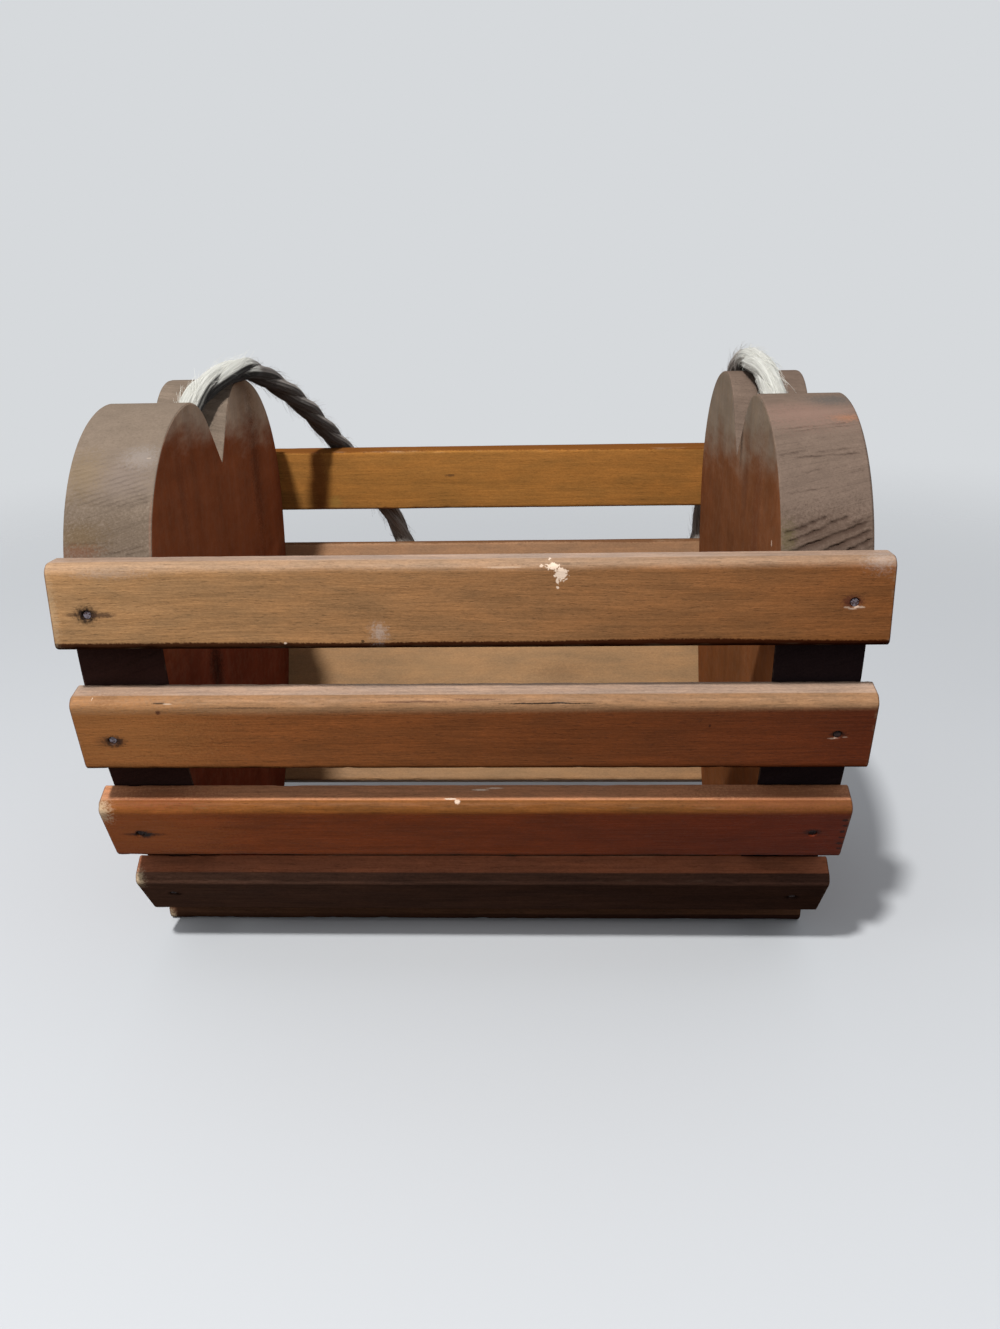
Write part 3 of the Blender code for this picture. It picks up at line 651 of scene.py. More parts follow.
def make_slat_tree():
    """Planes one slat along X: rounded edges, most of all on the face, eased ends and an uneven surface."""
    sizes = {"Length": 0.35, "Width": 0.04, "Thickness": 0.015, "Seed": 0.0, **SLAT_SIZES}
    make, given = new_mesh_maker("slat_maker", sizes)
    half_length = given["Length"] * 0.5
    place = make.add("GeometryNodeInputPosition")
    x, y, z = place.split()
    line = make.add("GeometryNodeCurvePrimitiveLine", {"Start": (-1, 0, 0), "End": (1, 0, 0)})
    line = make.add("GeometryNodeResampleCurve", {"Curve": line, "Count": given["Rings"]})
    stretched = ((x * (math.pi / 2)).maths("SINE") * half_length, 0, 0)
    line = make.add("GeometryNodeSetPosition", {"Geometry": line, "Position": stretched})
    inputs = {"Width": given["Width"], "Height": given["Thickness"]}
    section = make.add("GeometryNodeCurvePrimitiveQuadrilateral", inputs)
    in_front = x.maths("GREATER_THAN", 0).ramp(0, 1, given["Face Rounding"], given["Foot Rounding"])
    radius = y.maths("LESS_THAN", 0).ramp(0, 1, given["Back Rounding"], in_front)
    inputs = {"Curve": section, "Count": CORNER_STEPS, "Radius": radius}
    section = make.add("GeometryNodeFilletCurve", inputs, mode="POLY")
    section = make.add("GeometryNodeResampleCurve", {"Curve": section, "Count": given["Section Points"]})
    inputs = {"Curve": line, "Profile Curve": section, "Fill Caps": True}
    swept = make.add("GeometryNodeCurveToMesh", inputs)
    rounding = given["End Rounding"]
    short = (rounding - (half_length - abs(x))).maths("MAXIMUM", 0)
    inset = rounding - (rounding**2 - short**2).maths("MAXIMUM", 0).maths("SQRT")
    drawn_in = make.combine(0, y * inset / (given["Width"] * -0.5), z * inset / (given["Thickness"] * -0.5))
    seeded = place + (given["Seed"], 0, 0)
    wave = ((seeded * (14, 45, 45)).noise(1, 1) - 0.6) * given["Waviness"]
    normal = make.add("GeometryNodeInputNormal")
    _, across, out = normal.split()
    knocks = (seeded * (90, 200, 200)).noise(1, 3).fit(0.50, 0.75)
    wear = across**2 * out**2 * 4 * knocks * given["Edge Wear"]
    shift = drawn_in + normal * (wave - wear)
    shaped = make.add("GeometryNodeSetPosition", {"Geometry": swept, "Offset": shift})
    return make.finish_mesh(shaped, given["Finish"])


@cache
def wood_grain():
    """Grain drawn out along X: growth lines with fine streaks, dark flecks, mottles, a tone and a height."""
    make, given = new_group("wood_grain", {"Place": (0, 0, 0), "Seed": 0.0})
    place = given["Place"] + given["Seed"] * (1.7, 0.9, 1.3)
    wander = make.outputs("ShaderNodeTexNoise", {"Vector": place * (6, 25, 25), "Scale": 1})["Color"]
    place = place + (wander - (0.5, 0.5, 0.5)) * (0, 0.008, 0.008)

    def layer(x_scale, scale, detail, roughness):
        return (place * (x_scale, scale, scale)).noise(1, detail, roughness)

    from_pith = (place * (0.02, 1, 1)).maths("LENGTH")
    growth = make.combine(from_pith * 520, given["Seed"], 0).noise(1, 2, 0.6)
    streak = layer(26, 850, 5, 0.66)
    fibre = layer(160, 1700, 3, 0.7)
    fleck = layer(240, 1500, 2, 0.6).fit(0.58, 0.70)
    return make.finish({
        "Streak": (fibre - 0.5) * 0.55 + (growth - 0.5) * 0.35 + streak,
        "Fleck": fleck,
        "Mottle": layer(40, 130, 4, 0.6),
        "Tone": layer(6, 40, 2, 0.5),
        "Height": fibre + streak * 0.7 - fleck * 0.8,
    })


@cache
def ragged_spot():
    """A spot with a ragged edge, such as a stain or a chip, from a noise that its finish shares."""
    places = {"Place": (0, 0, 0), "Centre": (0, 0, 0), "Half Size": (1, 1, 1)}
    make, given = new_group("ragged_spot", {**places, "Noise": 0.5, "Raggedness": 0.9, "Softness": 0.3})
    reach = ((given["Place"] - given["Centre"]) / given["Half Size"]).maths("LENGTH")
    reach = reach + (given["Noise"] - 0.5) * 2 * given["Raggedness"]
    return make.finish({"Mask": reach.fit(1 - given["Softness"], given["Softness"] + 1, 1, 0)})


@cache
def edge_wear():
    """Where two faces of a block meet: 1 on its edges, fading to 0 over a reach, broken up by noise."""
    inputs = {"Place": (0, 0, 0), "Half Size": (0.1, 0.02, 0.008), "Reach": 0.004}
    make, given = new_group("edge_wear", inputs)
    x, y, z = (given["Half Size"] - abs(given["Place"])).split()
    nearest = x.maths("MINIMUM", y).maths("MAXIMUM", z.maths("MINIMUM", x.maths("MAXIMUM", y)))
    rub = (given["Place"] * (60, 260, 260)).noise(1, 3, 0.6)
    return make.finish({"Worn": nearest.fit(0, given["Reach"], 1, 0) * rub.fit(0.5, 0.72)})


@cache
def saw_lines():
    """What a saw leaves across an edge, at a place (across, along) on it: slanted lines, bands and pits."""
    make, given = new_group("saw_lines", {"Place": (0, 0, 0), "Slant": 0.15, "Seed": 0.0})
    x, y, _ = given["Place"].split()
    level = y - x * given["Slant"]

    def layer(across, along, detail, roughness):
        return make.combine(x * across, level * along, given["Seed"]).noise(1, detail, roughness)

    line = layer(22, 1400, 2, 0.6)
    band = layer(14, 230, 3, 0.6)
    pit = layer(700, 1300, 3, 0.65)
    results = {"Line": line.fit(0.56, 0.68), "Band": band, "Pit": pit.fit(0.54, 0.72)}
    return make.finish({**results, "Height": line + band - pit * 0.5})


def add_marks(make, colour, marks, place, noise):
    """The colour with a table's marks on it. The place's third number is its way from the marked surface."""
    for kind, x, y, half_x, half_y, tint, share in marks:
        raggedness, softness = MARK_KINDS[kind]
        inputs = {
            "Place": place,
            "Centre": (x * MM, y * MM, 0),
            "Half Size": (half_x * MM, half_y * MM, MARK_DEPTH),
            "Noise": noise,
            "Raggedness": raggedness,
            "Softness": softness,
        }
        colour = make.mix(make.group(ragged_spot(), inputs)["Mask"] * share, colour, paint(*tint))
    return colour


def toned(make, colour, *factors):
    """The colour made darker or lighter by every factor."""
    tone = factors[0]
    for factor in factors[1:]:
        tone = tone * factor
    return make.mix(1, colour, tone, "MULTIPLY")


def warmed(make, colour, mottle):
    """The colour gone cooler and warmer in patches."""
    return make.mix(1, colour, make.mix(mottle.fit(0.32, 0.68), COOLER, WARMER), "MULTIPLY")


def make_slat_finish(name, seat, seed):
    """Stained wood in the slat's own frame: end colours, an upper band, a painted shade along the foot, worn
    edges and marks.
    """
    material, make = new_material(f"{name}_stain_and_shade")
    left, right, top, upper_band_tone, foot = (paint(*tone) for tone in SLAT_STAINS_AND_SHADE[name])
    half = seat["half"]
    turn = {"Location": seat["frame"].translation, "Rotation": seat["frame"].to_euler()}
    place = make.add("ShaderNodeMapping", {"Vector": make.place(), **turn}, vector_type="TEXTURE")
    x, y, z = place.split()
    grain = make.group(wood_grain(), {"Place": place, "Seed": seed})
    rough = place.noise(900, 5, 0.7)
    speckle = (place * (650, 1300, 1300)).noise(1, 3, 0.7)
    colour = make.mix(x.ramp(-half.x, half.x), left, right)
    level = y + (grain["Tone"] - 0.5) * 0.004 + (rough - 0.5) * 0.002
    upper_band_from = (along * MM for along in UPPER_BAND_FROM.get(name, NO_UPPER_BAND))
    band = (level - x.ramp(-half.x, half.x, *upper_band_from)).fit(-0.0016, 0.0022)
    colour = make.mix(band * 0.7, colour, upper_band_tone)
    flat = half.z - SLAT_SIZES["Face Rounding"]
    on_top = z.fit(flat, flat - 0.001) * y.fit(half.y - 0.0016, half.y - 0.0003)
    colour = make.mix(on_top * 0.95, colour, top)
    streaks = STREAK_SHARES.get(name, 1)
    colour = toned(
        make,
        colour,
        grain["Tone"].swing(0.2, 0.11),
        grain["Mottle"].swing(0.2, 0.11),
        grain["Streak"].swing(0.25, 0.24 * streaks),
        grain["Fleck"].ramp(0, 1, 1.02, 1.02 - 0.22 * streaks),
        speckle.swing(0.2, 0.13),
    )
    colour = warmed(make, colour, grain["Mottle"])
    line = FOOT_SHADE_WIDTHS.get(name, PLAIN_FOOT_SHADE_WIDTH) * MM - half.y
    # Painted shade along the foot, where its rounding faces down away from the light
    colour = make.mix(level.fit(line + 0.0004, line - 0.0005, 0, 0.93), colour, foot)
    worn = make.group(edge_wear(), {"Place": place, "Half Size": half, "Reach": 0.0022})["Worn"]
    colour = make.mix(worn * 0.22, colour, paint(*BARE_WOOD_AND_HIGHLIGHT))
    face = -half.z if name.startswith("rear") else half.z
    colour = add_marks(make, colour, SLAT_MARKS[name], make.combine(x, y, z - face), rough)
    colour = add_marks(make, colour, TOP_EDGE_MARKS.get(name, ()), make.combine(x, z, y - half.y), rough)
    rings = make.combine(0, y * 300, z * 1400).noise()
    end_grain = make.mix(rings.fit(0.35, 0.65), *(paint(*tone) for tone in END_GRAIN))
    colour = make.mix(abs(x).fit(half.x - 0.0010, half.x - 0.0002) * 0.8, colour, end_grain)
    make.dress({
        "Base Color": colour,
        "Roughness": worn * 0.2 + grain["Streak"].ramp(0.3, 0.7, 0.55, 0.42),
        "Specular IOR Level": 0 if name in DULL_SLATS else y.fit(line, line + 0.003, 0, WOOD_SPECULAR),
        "Normal": make.bump(grain["Height"], 0.35 * streaks, 0.0003),
    })
    return material


def make_heart_finish(side, low, high):
    """Grey weathered wood above and red stain below on the faces, and a rim that shows the saw, with painted
    shade in its saw grooves and on the rim between the slats, and a band of painted shade near the left
    face's rear edge.
    """
    material, make = new_material(f"heart_{side}_stain_and_shade")
    top, main, foot, rim_above, shaded_rim_below = (paint(*tone) for tone in HEART_STAINS_AND_SHADE[side])
    x, y, z = make.place().split()
    along_grain = make.combine(z, y, x)
    seed = HEART_SEEDS[side]
    grain = make.group(wood_grain(), {"Place": along_grain, "Seed": seed})
    rough = along_grain.noise(900, 5, 0.7)
    blots = (along_grain * (90, 28, 28)).noise(1, 4, 0.62)
    fade = (blots - 0.5) * 0.04 + z + y * 0.14
    face = make.mix(fade.fit(*HEART_FOOT_FADE), foot, main)
    face = make.mix(fade.fit(*HEART_FADE[side]), face, top)
    face = toned(
        make,
        face,
        grain["Tone"].swing(0.2, 0.14),
        blots.swing(0.2, 0.12),
        grain["Streak"].swing(0.25, 0.07),
        rough.swing(0.15, 0.06),
    )
    face = warmed(make, face, grain["Mottle"])
    face = add_marks(make, face, HEART_FACE_MARKS[side], make.combine(y, z, 0), rough)
    edge = make.add("ShaderNodeUVMap", uv_map="rim")
    across, run, _ = edge.split()
    behind = y.maths("GREATER_THAN", 0)
    inputs = {"Place": edge, "Slant": run.fit(0.022, 0.07, 0.36, 0.2), "Seed": behind + seed}
    saw = make.group(saw_lines(), inputs)
    shown = behind.maths("MAXIMUM", run.fit(*SAW_LINES_UNDER[side], 0.6, 0.1))
    # Below its widest place the rim is partly painted shade, where the slats shade it
    rim = toned(
        make,
        make.mix(run.fit(-0.004, 0.014), shaded_rim_below, rim_above),
        (saw["Line"] * shown).ramp(0, 1, 1.02, 0.86),
        ((saw["Band"] - 0.5) * shown).fit(-0.2, 0.2, 0.88, 1.12),
        saw["Pit"].ramp(0, 1, 1.03, 0.84),
        grain["Mottle"].swing(0.2, 0.07),
        rough.swing(0.15, 0.09),
    )
    # Painted shade in the saw grooves, darkest where they cut deepest
    sawn = make.outputs("ShaderNodeAttribute", attribute_name="sawn")["Fac"]
    rim = make.mix(sawn**1.6 * 0.70, rim, paint(*SAW_GROOVE_SHADE))
    rim = add_marks(make, rim, HEART_MARKS[side], make.combine(across, run, behind), rough)
    from_face = (high.x - low.x) / 2 - abs(x - (low.x + high.x) / 2)
    on_rim = from_face.fit(0.00003, 0.00016)
    corner = abs(from_face - 0.0003).fit(0, 0.0005, 1, 0)
    worn = corner * along_grain.noise(190, 3, 0.6).fit(0.45, 0.62) * 0.22
    make.dress({
        "Base Color": make.mix(worn, make.mix(on_rim, face, rim), paint(*WORN_HEART)),
        "Roughness": on_rim.ramp(0, 1, 0.5, 0.75),
        "Specular IOR Level": 0,
        "Normal": make.bump(grain["Height"] * 0.3 + saw["Height"] * on_rim * shown, 0.5, 0.0005),
    })
    return material


def make_rope_finish(name, lift):
    """Cream fibres at the holes, grimy and then grey further on, with a near black painted shade on the side
    turned down and away from the light, lifted by a factor.
    """
    material, make = new_material(name)

    def read(attribute):
        return make.outputs("ShaderNodeAttribute", attribute_name=attribute)

    along, to_go, strand, shade_side = (read(a)["Fac"] for a in ("along", "to_go", "strand", "underside"))
    x, y, _ = read("section")["Vector"].split()
    fibres = make.combine(x * 9 + strand * 31, y * 9, along * 70).noise(1, 3, 0.65).fit(0.3, 0.7)
    blotch = make.combine(along, strand, 0).noise(45, 3)
    wander = blotch.ramp(0.3, 0.7, -0.010, 0.010)
    aged = (along + wander).fit(*CREAM_LEFT) * (to_go + wander).fit(*CREAM_RIGHT)
    cream, grey, grime = (
        make.mix(fibres, *(paint(*(lift * c for c in tone)) for tone in tones))
        for tones in (ROPE_CREAM, ROPE_GREY, ROPE_GRIME)
    )
    grey = make.mix((along + wander).fit(*GRIMY_TO, 1, 0), grey, grime)
    grey = make.mix(blotch.fit(0.45, 0.75, 0, 0.6), grey, paint(*ROPE_BLOTCH))
    colour = make.mix(aged, cream, grey)
    make.dress({
        # The painted shade darkens the side turned from the light, most of all on the cream ends
        "Base Color": make.mix(shade_side * aged.ramp(0, 1, 0.97, 0.72), colour, paint(*ROPE_SHADE)),
        "Roughness": 0.85,
        "Specular IOR Level": 0.2,
        "Sheen Weight": 0.15,
        "Sheen Roughness": 0.5,
        "Normal": make.bump(fibres, 0.6, 0.0005),
    })
    return material


def make_nail_finish(name, tones):
    """Steel gone brown and black with rust."""
    material, make = new_material(name)
    place = make.place()
    patches = place.noise(900, 4, 0.65)
    rust = patches.fit(0.42, 0.6)
    light, dark, rusted = (paint(*tone) for tone in tones)
    make.dress({
        "Base Color": make.mix(rust, make.mix(place.noise(2600), light, dark), rusted),
        "Roughness": rust.fit(0, 1, 0.42, 0.8),
        "Normal": make.bump(patches, 0.5, 0.0002),
    })
    if tones == BRIGHT_STEEL:
        make.dress({"Metallic": rust.fit(0, 1, 0.75, 0.1)})
    else:
        make.dress({"Specular IOR Level": 0.1})
    return material


def make_rope():
    """The handle as one length of rope, with its loose fibres, laid over the rear lobes."""
    points = smooth_points(ROPE_ROUTE, ROPE_STEP)
    line = bpy.data.meshes.new("rope_line")
    line.from_pydata(points, [(i, i + 1) for i in range(len(points) - 1)], [])
    mesh = run_tree(make_rope_tree(), line, {**ROPE_SIZES, "Finish": make_rope_finish("rope_strands", 1)})
    mesh.shade_smooth()
    finish = make_rope_finish("rope_loose_fibres", LOOSE_FIBRE_LIFT)
    tree = make_fibre_tree()
    fuzz = add_piece("rope_fuzz", run_tree(tree, mesh, {**FUZZ, "Finish": finish}))
    hair = add_piece("rope_hair", run_tree(tree, mesh, {**HAIR, "Finish": finish}))
    rope = add_piece("twisted_rope", mesh)
    for piece in (rope, fuzz, hair):
        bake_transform(piece)
    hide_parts("rope_end_left", "rope_handle", "rope_end_right")
    sum((b - a).length for a, b in zip(points, points[1:]))


def read_seat(name):
    """A slat's own frame and half size, from its node: X along it, Y across it and Z out of its face."""
    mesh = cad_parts[name].data
    points = np.array([v.co for v in mesh.vertices])
    centre = (points.min(0) + points.max(0)) / 2
    out = max(mesh.polygons, key=lambda face: face.area).normal.copy()
    if out.dot(Vector(centre) - Vector((0, 0, 0.2))) < 0:
        out.negate()
    along = Vector((1, 0, 0))
    axes = np.array([along, out.cross(along), out])
    local = points @ axes.T
    low, high = local.min(0), local.max(0)
    seat_frame = Matrix(axes.tolist()).transposed().to_4x4()
    seat_frame.translation = Vector(axes.T @ ((low + high) / 2))
    return {"frame": seat_frame, "half": Vector((high - low) / 2)}


def nail_frames(slat_name, seat):
    """Where the slat's two nails go in: Z straight out of the face, from the nodes of the nails."""
    frames = []
    for end in ("left", "right"):
        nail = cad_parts[f"{slat_name.replace('slat', 'nail')}_{end}"].data
        local = np.array([seat["frame"].inverted() @ v.co for v in nail.vertices])
        middle = (local.min(0) + local.max(0)) / 2
        frames.append(seat["frame"] @ Matrix.Translation((middle[0], middle[1], seat["half"].z)))
    return frames


def turned_solids(name, profile, sides, frames):
    """One mesh with a solid of revolution in each frame, from (radius, height) points, top down."""
    verts, faces = [], []
    for place in frames:
        base = len(verts)
        verts.append(place @ Vector((0, 0, profile[0][1])))
        for radius, height in profile:
            for step in range(sides):
                angle = math.tau * step / sides
                verts.append(place @ Vector((radius * math.cos(angle), radius * math.sin(angle), height)))
        verts.append(place @ Vector((0, 0, profile[-1][1])))
        rows = [[base + 1 + row * sides + step for step in range(sides)] for row in range(len(profile))]
        for step in range(sides):
            after = (step + 1) % sides
            faces.append((base, rows[0][step], rows[0][after]))
            faces.append((len(verts) - 1, rows[-1][after], rows[-1][step]))
            for upper, lower in zip(rows, rows[1:]):
                faces.append((upper[step], lower[step], lower[after], upper[after]))
    mesh = bpy.data.meshes.new(name)
    mesh.from_pydata(verts, [], faces)
    return mesh


def cut_mesh(mesh, cutter_mesh):
    """The mesh with the cutter taken out of it."""
    cutter = add_piece("cutter", cutter_mesh)
    carrier = add_piece("carrier", mesh)
    boolean = carrier.modifiers.new("cut", "BOOLEAN")
    boolean.operation = "DIFFERENCE"
    boolean.solver = "EXACT"
    boolean.object = cutter
    cut = plain_mesh(carrier)
    bpy.data.objects.remove(cutter, do_unlink=True)
    return cut


def cut_nail_holes(mesh, frames):
    profile = [
        (NAIL_RIM_RADIUS + 0.0012, 0.0008),
        (NAIL_RIM_RADIUS, 0.0),
        (NAIL_BORE_RADIUS, -NAIL_RIM_DEPTH),
        (NAIL_BORE_RADIUS, -NAIL_BORE_DEPTH),
        (NAIL_SHANK_BORE_RADIUS, -NAIL_BORE_DEPTH - NAIL_SHOULDER),
        (NAIL_SHANK_BORE_RADIUS, -NAIL_LENGTH),
    ]
    return cut_mesh(mesh, turned_solids("nail_holes", profile, NAIL_HOLE_SIDES, frames))


def add_wooden_piece(name, mesh, node, degrees):
    """A piece that rides on the basket in its node's stead, with corners sharp from an angle."""
    mesh.shade_smooth()
    mesh.set_sharp_from_angle(angle=math.radians(degrees))
    piece = add_piece(name, mesh)
    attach(piece, "basket")
    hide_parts(node)


def make_slats():
    """Every slat in the place of its node. Returns the frames of all the nails."""
    tree = make_slat_tree()
    nails = []
    for number, name in enumerate(sorted(SLAT_STAINS_AND_SHADE)):
        seat = read_seat(name)
        length, width, thickness = 2 * seat["half"]
        values = {
            **SLAT_SIZES,
            "Length": length,
            "Width": width,
            "Thickness": thickness,
            "Seed": float(number),
            "Finish": make_slat_finish(name, seat, number * SLAT_SEED_STEP),
        }
        mesh = run_tree(tree, bpy.data.meshes.new("blank"), values)
        mesh.transform(seat["frame"])
        frames = nail_frames(name, seat)
        nails += frames
        slot = f"{name.split('_')[0]}_slat_wood"
        add_wooden_piece(name.replace("slat", "worn_slat"), cut_nail_holes(mesh, frames), name, 40)
    return nails


def arc_points(centre, radius, start, end, run_start, step):
    """Points (y, z, run) of an arc, a step apart, without its last one."""
    count = max(2, math.ceil(abs(end - start) * radius / step))
    angles = start + (end - start) * np.arange(count) / count
    run = run_start + radius * np.abs(angles - start)
    return np.column_stack((centre[0] + radius * np.cos(angles), centre[1] + radius * np.sin(angles), run))


def line_points(start, end, run_start):
    """Points (y, z, run) of a straight line, a step apart, without its last one."""
    count = max(2, math.ceil(math.dist(start, end) / OUTLINE_STEP))
    share = np.arange(count) / count
    y = start[0] + share * (end[0] - start[0])
    z = start[1] + share * (end[1] - start[1])
    return np.column_stack((y, z, run_start + share * math.dist(start, end)))


def heart_half(low, high, lobe_step):
    """Half of the heart's outline, from its foot's middle to its notch. The lobe has a step of its own."""
    crest_y = LOBE_SPACING / 2
    half_width = high.y
    widest_z = low.z + WIDEST_HEIGHT
    lobe_radius = half_width - crest_y
    notch_z = high.z - NOTCH_DEPTH
    foot_angle = 2 * math.atan((half_width - FOOT_HALF_WIDTH) / WIDEST_HEIGHT)
    side_radius = WIDEST_HEIGHT / math.sin(foot_angle)
    lip_z = high.z - NOTCH_LIP_RADIUS
    to_lip = math.hypot(crest_y, lip_z - notch_z)
    tangent = math.atan2(lip_z - notch_z, crest_y) + math.asin(NOTCH_LIP_RADIUS / to_lip)
    lobe_run = lobe_radius * math.pi / 2
    lip_run = lobe_run + NOTCH_LIP_RADIUS * tangent
    wall_top = (crest_y - NOTCH_LIP_RADIUS * math.sin(tangent), lip_z + NOTCH_LIP_RADIUS * math.cos(tangent))
    foot_run = -side_radius * foot_angle
    upright = math.pi / 2
    side_centre = (half_width - side_radius, widest_z)
    return np.vstack((
        line_points((0, low.z), (FOOT_HALF_WIDTH, low.z), foot_run - FOOT_HALF_WIDTH),
        arc_points(side_centre, side_radius, -foot_angle, 0, foot_run, OUTLINE_STEP),
        arc_points((crest_y, widest_z), lobe_radius, 0, upright, 0, lobe_step),
        arc_points((crest_y, lip_z), NOTCH_LIP_RADIUS, upright, upright + tangent, lobe_run, OUTLINE_STEP),
        line_points(wall_top, (0, notch_z), lip_run),
        [[0, notch_z, lip_run + math.dist(wall_top, (0, notch_z))]],
    ))


def heart_outline(low, high):
    """The heart's outline as (y, z, run), where run is the way along the edge, up from its widest place."""
    rear = heart_half(low, high, OUTLINE_STEP)
    front = heart_half(low, high, SEEN_STEP) * np.array([-1, 1, 1])
    return np.vstack((rear, front[-2:0:-1]))


def rim_columns(half):
    """The section across the board: (across, how far in from the edge), with eased corners."""
    angles = np.linspace(0, math.pi / 2, EASING_STEPS + 1)
    left = [(-half, EDGE_EASING + FACE_MARGIN)]
    left += [(-half + EDGE_EASING * (1 - math.cos(a)), EDGE_EASING * (1 - math.sin(a))) for a in angles]
    flat = np.linspace(-half + EDGE_EASING, half - EDGE_EASING, RIM_COLUMNS)[1:-1]
    return np.array(left + [(x, 0) for x in flat] + [(-x, inset) for x, inset in reversed(left)])


def mark_depths(marks, across, run):
    """How deep the saw marks cut at each place, in metres: steep at the line, and out again below it."""
    depth = np.zeros_like(run)
    for x0, r0, x1, r1, width, deep in marks:
        start, way = np.array((x0, r0)) * MM, np.array((x1 - x0, r1 - r0)) * MM
        length = np.linalg.norm(way)
        share = ((across - start[0]) * way[0] + (run - start[1]) * way[1]) / length**2
        below = ((across - start[0]) * way[1] - (run - start[1]) * way[0]) / length
        below = below + 0.00018 * np.sin(share * 23 + r0) + 0.00012 * np.sin(share * 71 + x0)
        below = below / (width * MM)
        ends = np.clip(share * 7, 0, 1) * np.clip((1 - share) * 7, 0, 1)
        uneven = 0.8 + 0.2 * np.sin(share * 13 + 3 * r0)
        cut = np.where(below < 0, np.exp(-((below / 0.7) ** 2)), np.exp(-np.maximum(below, 0) / 2.2))
        depth = np.maximum(depth, deep * MM * cut * ends * uneven)
    return depth


def loose_marks(random):
    """Saw marks for the parts of the rim that the photograph doesn't show."""
    marks = []
    for _ in range(LOOSE_SAW_MARKS):
        run = random.uniform(-215, 118)
        slant = random.uniform(0.08, 0.38)
        start = random.uniform(-20, 4)
        reach = random.uniform(8, 36)
        width = random.uniform(0.5, 0.8)
        depth = random.uniform(0.12, 0.45)
        marks.append((start, run, min(start + reach, 20), run + slant * reach, width, depth))
    return marks


def make_heart(side, nails):
    """One end board with eased edges, saw marks on its rim, the rope's hole and the nails' bores."""
    low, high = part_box(f"heart_end_{side}")
    centre_x = (low.x + high.x) / 2
    outline = heart_outline(low, high)
    ahead = np.roll(outline[:, :2], -1, 0) - np.roll(outline[:, :2], 1, 0)
    ahead /= np.linalg.norm(ahead, axis=1)[:, None]
    columns = rim_columns((high.x - low.x) / 2)
    count = len(outline)
    across = np.repeat(columns[:, 0], count)
    inset = np.repeat(columns[:, 1], count)
    y, z, run = (np.tile(outline[:, axis], len(columns)) for axis in range(3))
    to_y, to_z = (np.tile(ahead[:, axis], len(columns)) for axis in range(2))
    front = mark_depths(SAW_MARKS[side], across, run)
    behind = mark_depths(loose_marks(np.random.default_rng(LOOSE_MARK_SEEDS[side])), across, run)
    depth = np.where((y < 0) & (run > SEEN_RIM_START), front, behind) * (inset == 0)
    moved = inset + depth
    points = np.column_stack((across + centre_x, y - to_z * moved, z + to_y * moved))
    faces = []
    for column in range(len(columns) - 1):
        first, second = column * count, (column + 1) * count
        for step in range(count):
            after = (step + 1) % count
            faces.append((first + step, first + after, second + after, second + step))
    faces.append(tuple(range(count))[::-1])
    faces.append(tuple(range((len(columns) - 1) * count, len(columns) * count)))
    mesh = bpy.data.meshes.new(f"heart_{side}")
    mesh.from_pydata(points.tolist(), [], faces)
    # The share of painted shade in each saw groove
    sawn = np.clip(depth / SAW_SHADE_FULL_DEPTH[side], 0, 1).astype(np.float32)
    mesh.attributes.new("sawn", "FLOAT", "POINT").data.foreach_set("value", sawn)
    loops = np.zeros(len(mesh.loops), np.int32)
    mesh.loops.foreach_get("vertex_index", loops)
    rim = mesh.uv_layers.new(name="rim")
    rim.data.foreach_set("uv", np.column_stack((across, run))[loops].astype(np.float32).ravel())
    mesh.materials.append(make_heart_finish(side, low, high))
    profile = [(ROPE_HOLE_RADIUS, ROPE_HOLE_DEPTH), (ROPE_HOLE_RADIUS, -ROPE_HOLE_DEPTH)]
    notch = Matrix.Translation((centre_x, 0, high.z - NOTCH_DEPTH))
    mesh = cut_mesh(mesh, turned_solids("rope_hole", profile, ROPE_HOLE_SIDES, [notch]))
    mesh = cut_nail_holes(mesh, [place for place in nails if place.translation.x * centre_x > 0])
    add_wooden_piece(f"sawn_heart_{side}", mesh, f"heart_end_{side}", 50)
    for face in mesh.polygons:
        if abs(face.normal.x) > 0.9999:
            face.use_smooth = False


def dress_nails():
    bright = make_nail_finish("worn_steel_nail", BRIGHT_STEEL)
    rusted = make_nail_finish("rusted_nail", RUSTED_STEEL)
    for name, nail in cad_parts.items():
        if "_nail_" in name:
            nail.data.materials.clear()
            nail.data.materials.append(bright if name in BRIGHT_NAILS else rusted)


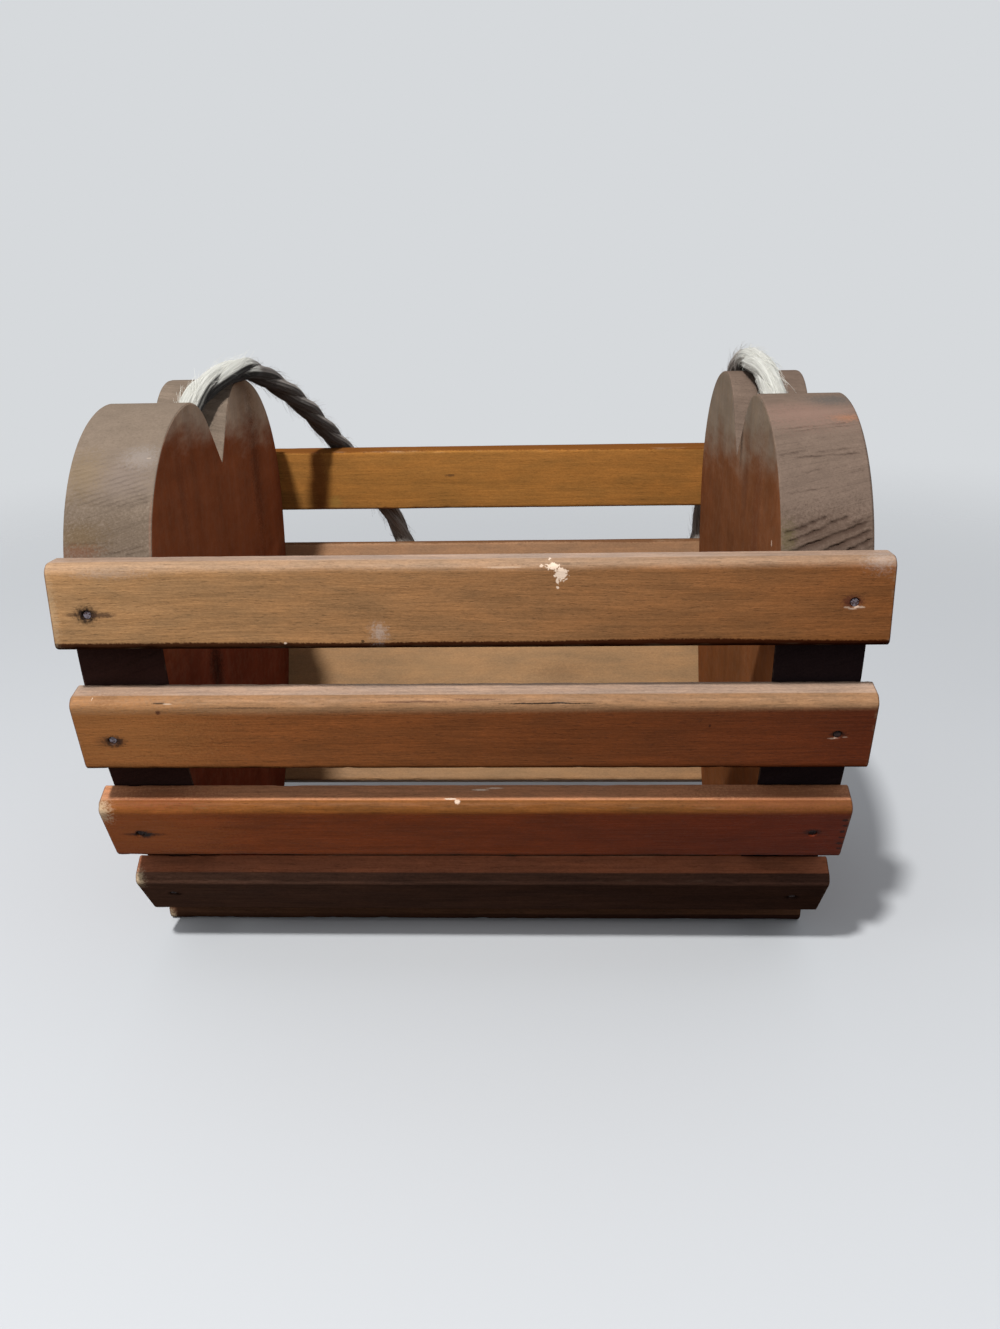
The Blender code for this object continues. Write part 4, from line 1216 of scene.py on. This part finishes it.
def soft_light(name, place, size, power):
    data = bpy.data.lights.new(name, "AREA")
    data.shape = "DISK"
    data.size = size
    data.energy = power
    light = add_piece(name, data)
    light.location = place
    light.rotation_euler = (Vector(LAMP_AIM) - Vector(place)).to_track_quat("-Z", "Y").to_euler()


def seen_directly(make):
    """1 for what the camera, a reflection or a clear pane sees, and 0 for the light on the object."""
    rays = make.outputs("ShaderNodeLightPath")
    seen = rays["Is Camera Ray"].maths("MAXIMUM", rays["Is Glossy Ray"])
    return seen.maths("MAXIMUM", rays["Is Transmission Ray"])


def make_studio():
    """A pale floor and world, dark to the light that comes back up from them, and two lamps."""
    bpy.context.scene.view_settings.view_transform = "Standard"
    world = bpy.data.worlds.new("pale_studio")
    bpy.context.scene.world = world
    world.use_nodes = True
    make = Maker(world.node_tree)
    _, _, upward = make.outputs("ShaderNodeTexCoord")["Generated"].split()
    glow = make.mix(upward.fit(-0.06, 0.10), paint(40, 38, 37), paint(192, 194, 198))
    background = world.node_tree.nodes["Background"]
    make.join(make.mix(seen_directly(make), glow, paint(214, 217, 220)), background.inputs["Color"])
    background.inputs["Strength"].default_value = 1.0
    shape = bmesh.new()
    bmesh.ops.create_circle(shape, cap_ends=True, radius=FLOOR_RADIUS, segments=64)
    mesh = bpy.data.meshes.new("floor")
    shape.to_mesh(mesh)
    shape.free()
    material, make = new_material("pale_floor")
    colour = make.mix(seen_directly(make), paint(48, 45, 43), paint(186, 188, 190))
    make.dress({"Base Color": colour, "Roughness": 0.9})
    far = make.place().maths("LENGTH").fit(0.45, 1.5)
    opaque = Wire(make, material.node_tree.nodes["Principled BSDF"].outputs["BSDF"])
    clear = make.add("ShaderNodeBsdfTransparent")
    both = make.add("ShaderNodeMixShader", {0: far, 1: opaque, 2: clear})
    make.join(both, material.node_tree.nodes["Material Output"].inputs["Surface"])
    mesh.materials.append(material)
    add_piece("floor", mesh)
    soft_light("lamp_in_front", (-0.36, -1.18, 1.972), 0.13, 55.0)
    soft_light("lamp_at_left", (-1.6, -0.5, 0.6), 0.5, 3.4)


make_camera()
make_rope()
NAILS = make_slats()
for end in ("left", "right"):
    make_heart(end, NAILS)
dress_nails()
make_studio()
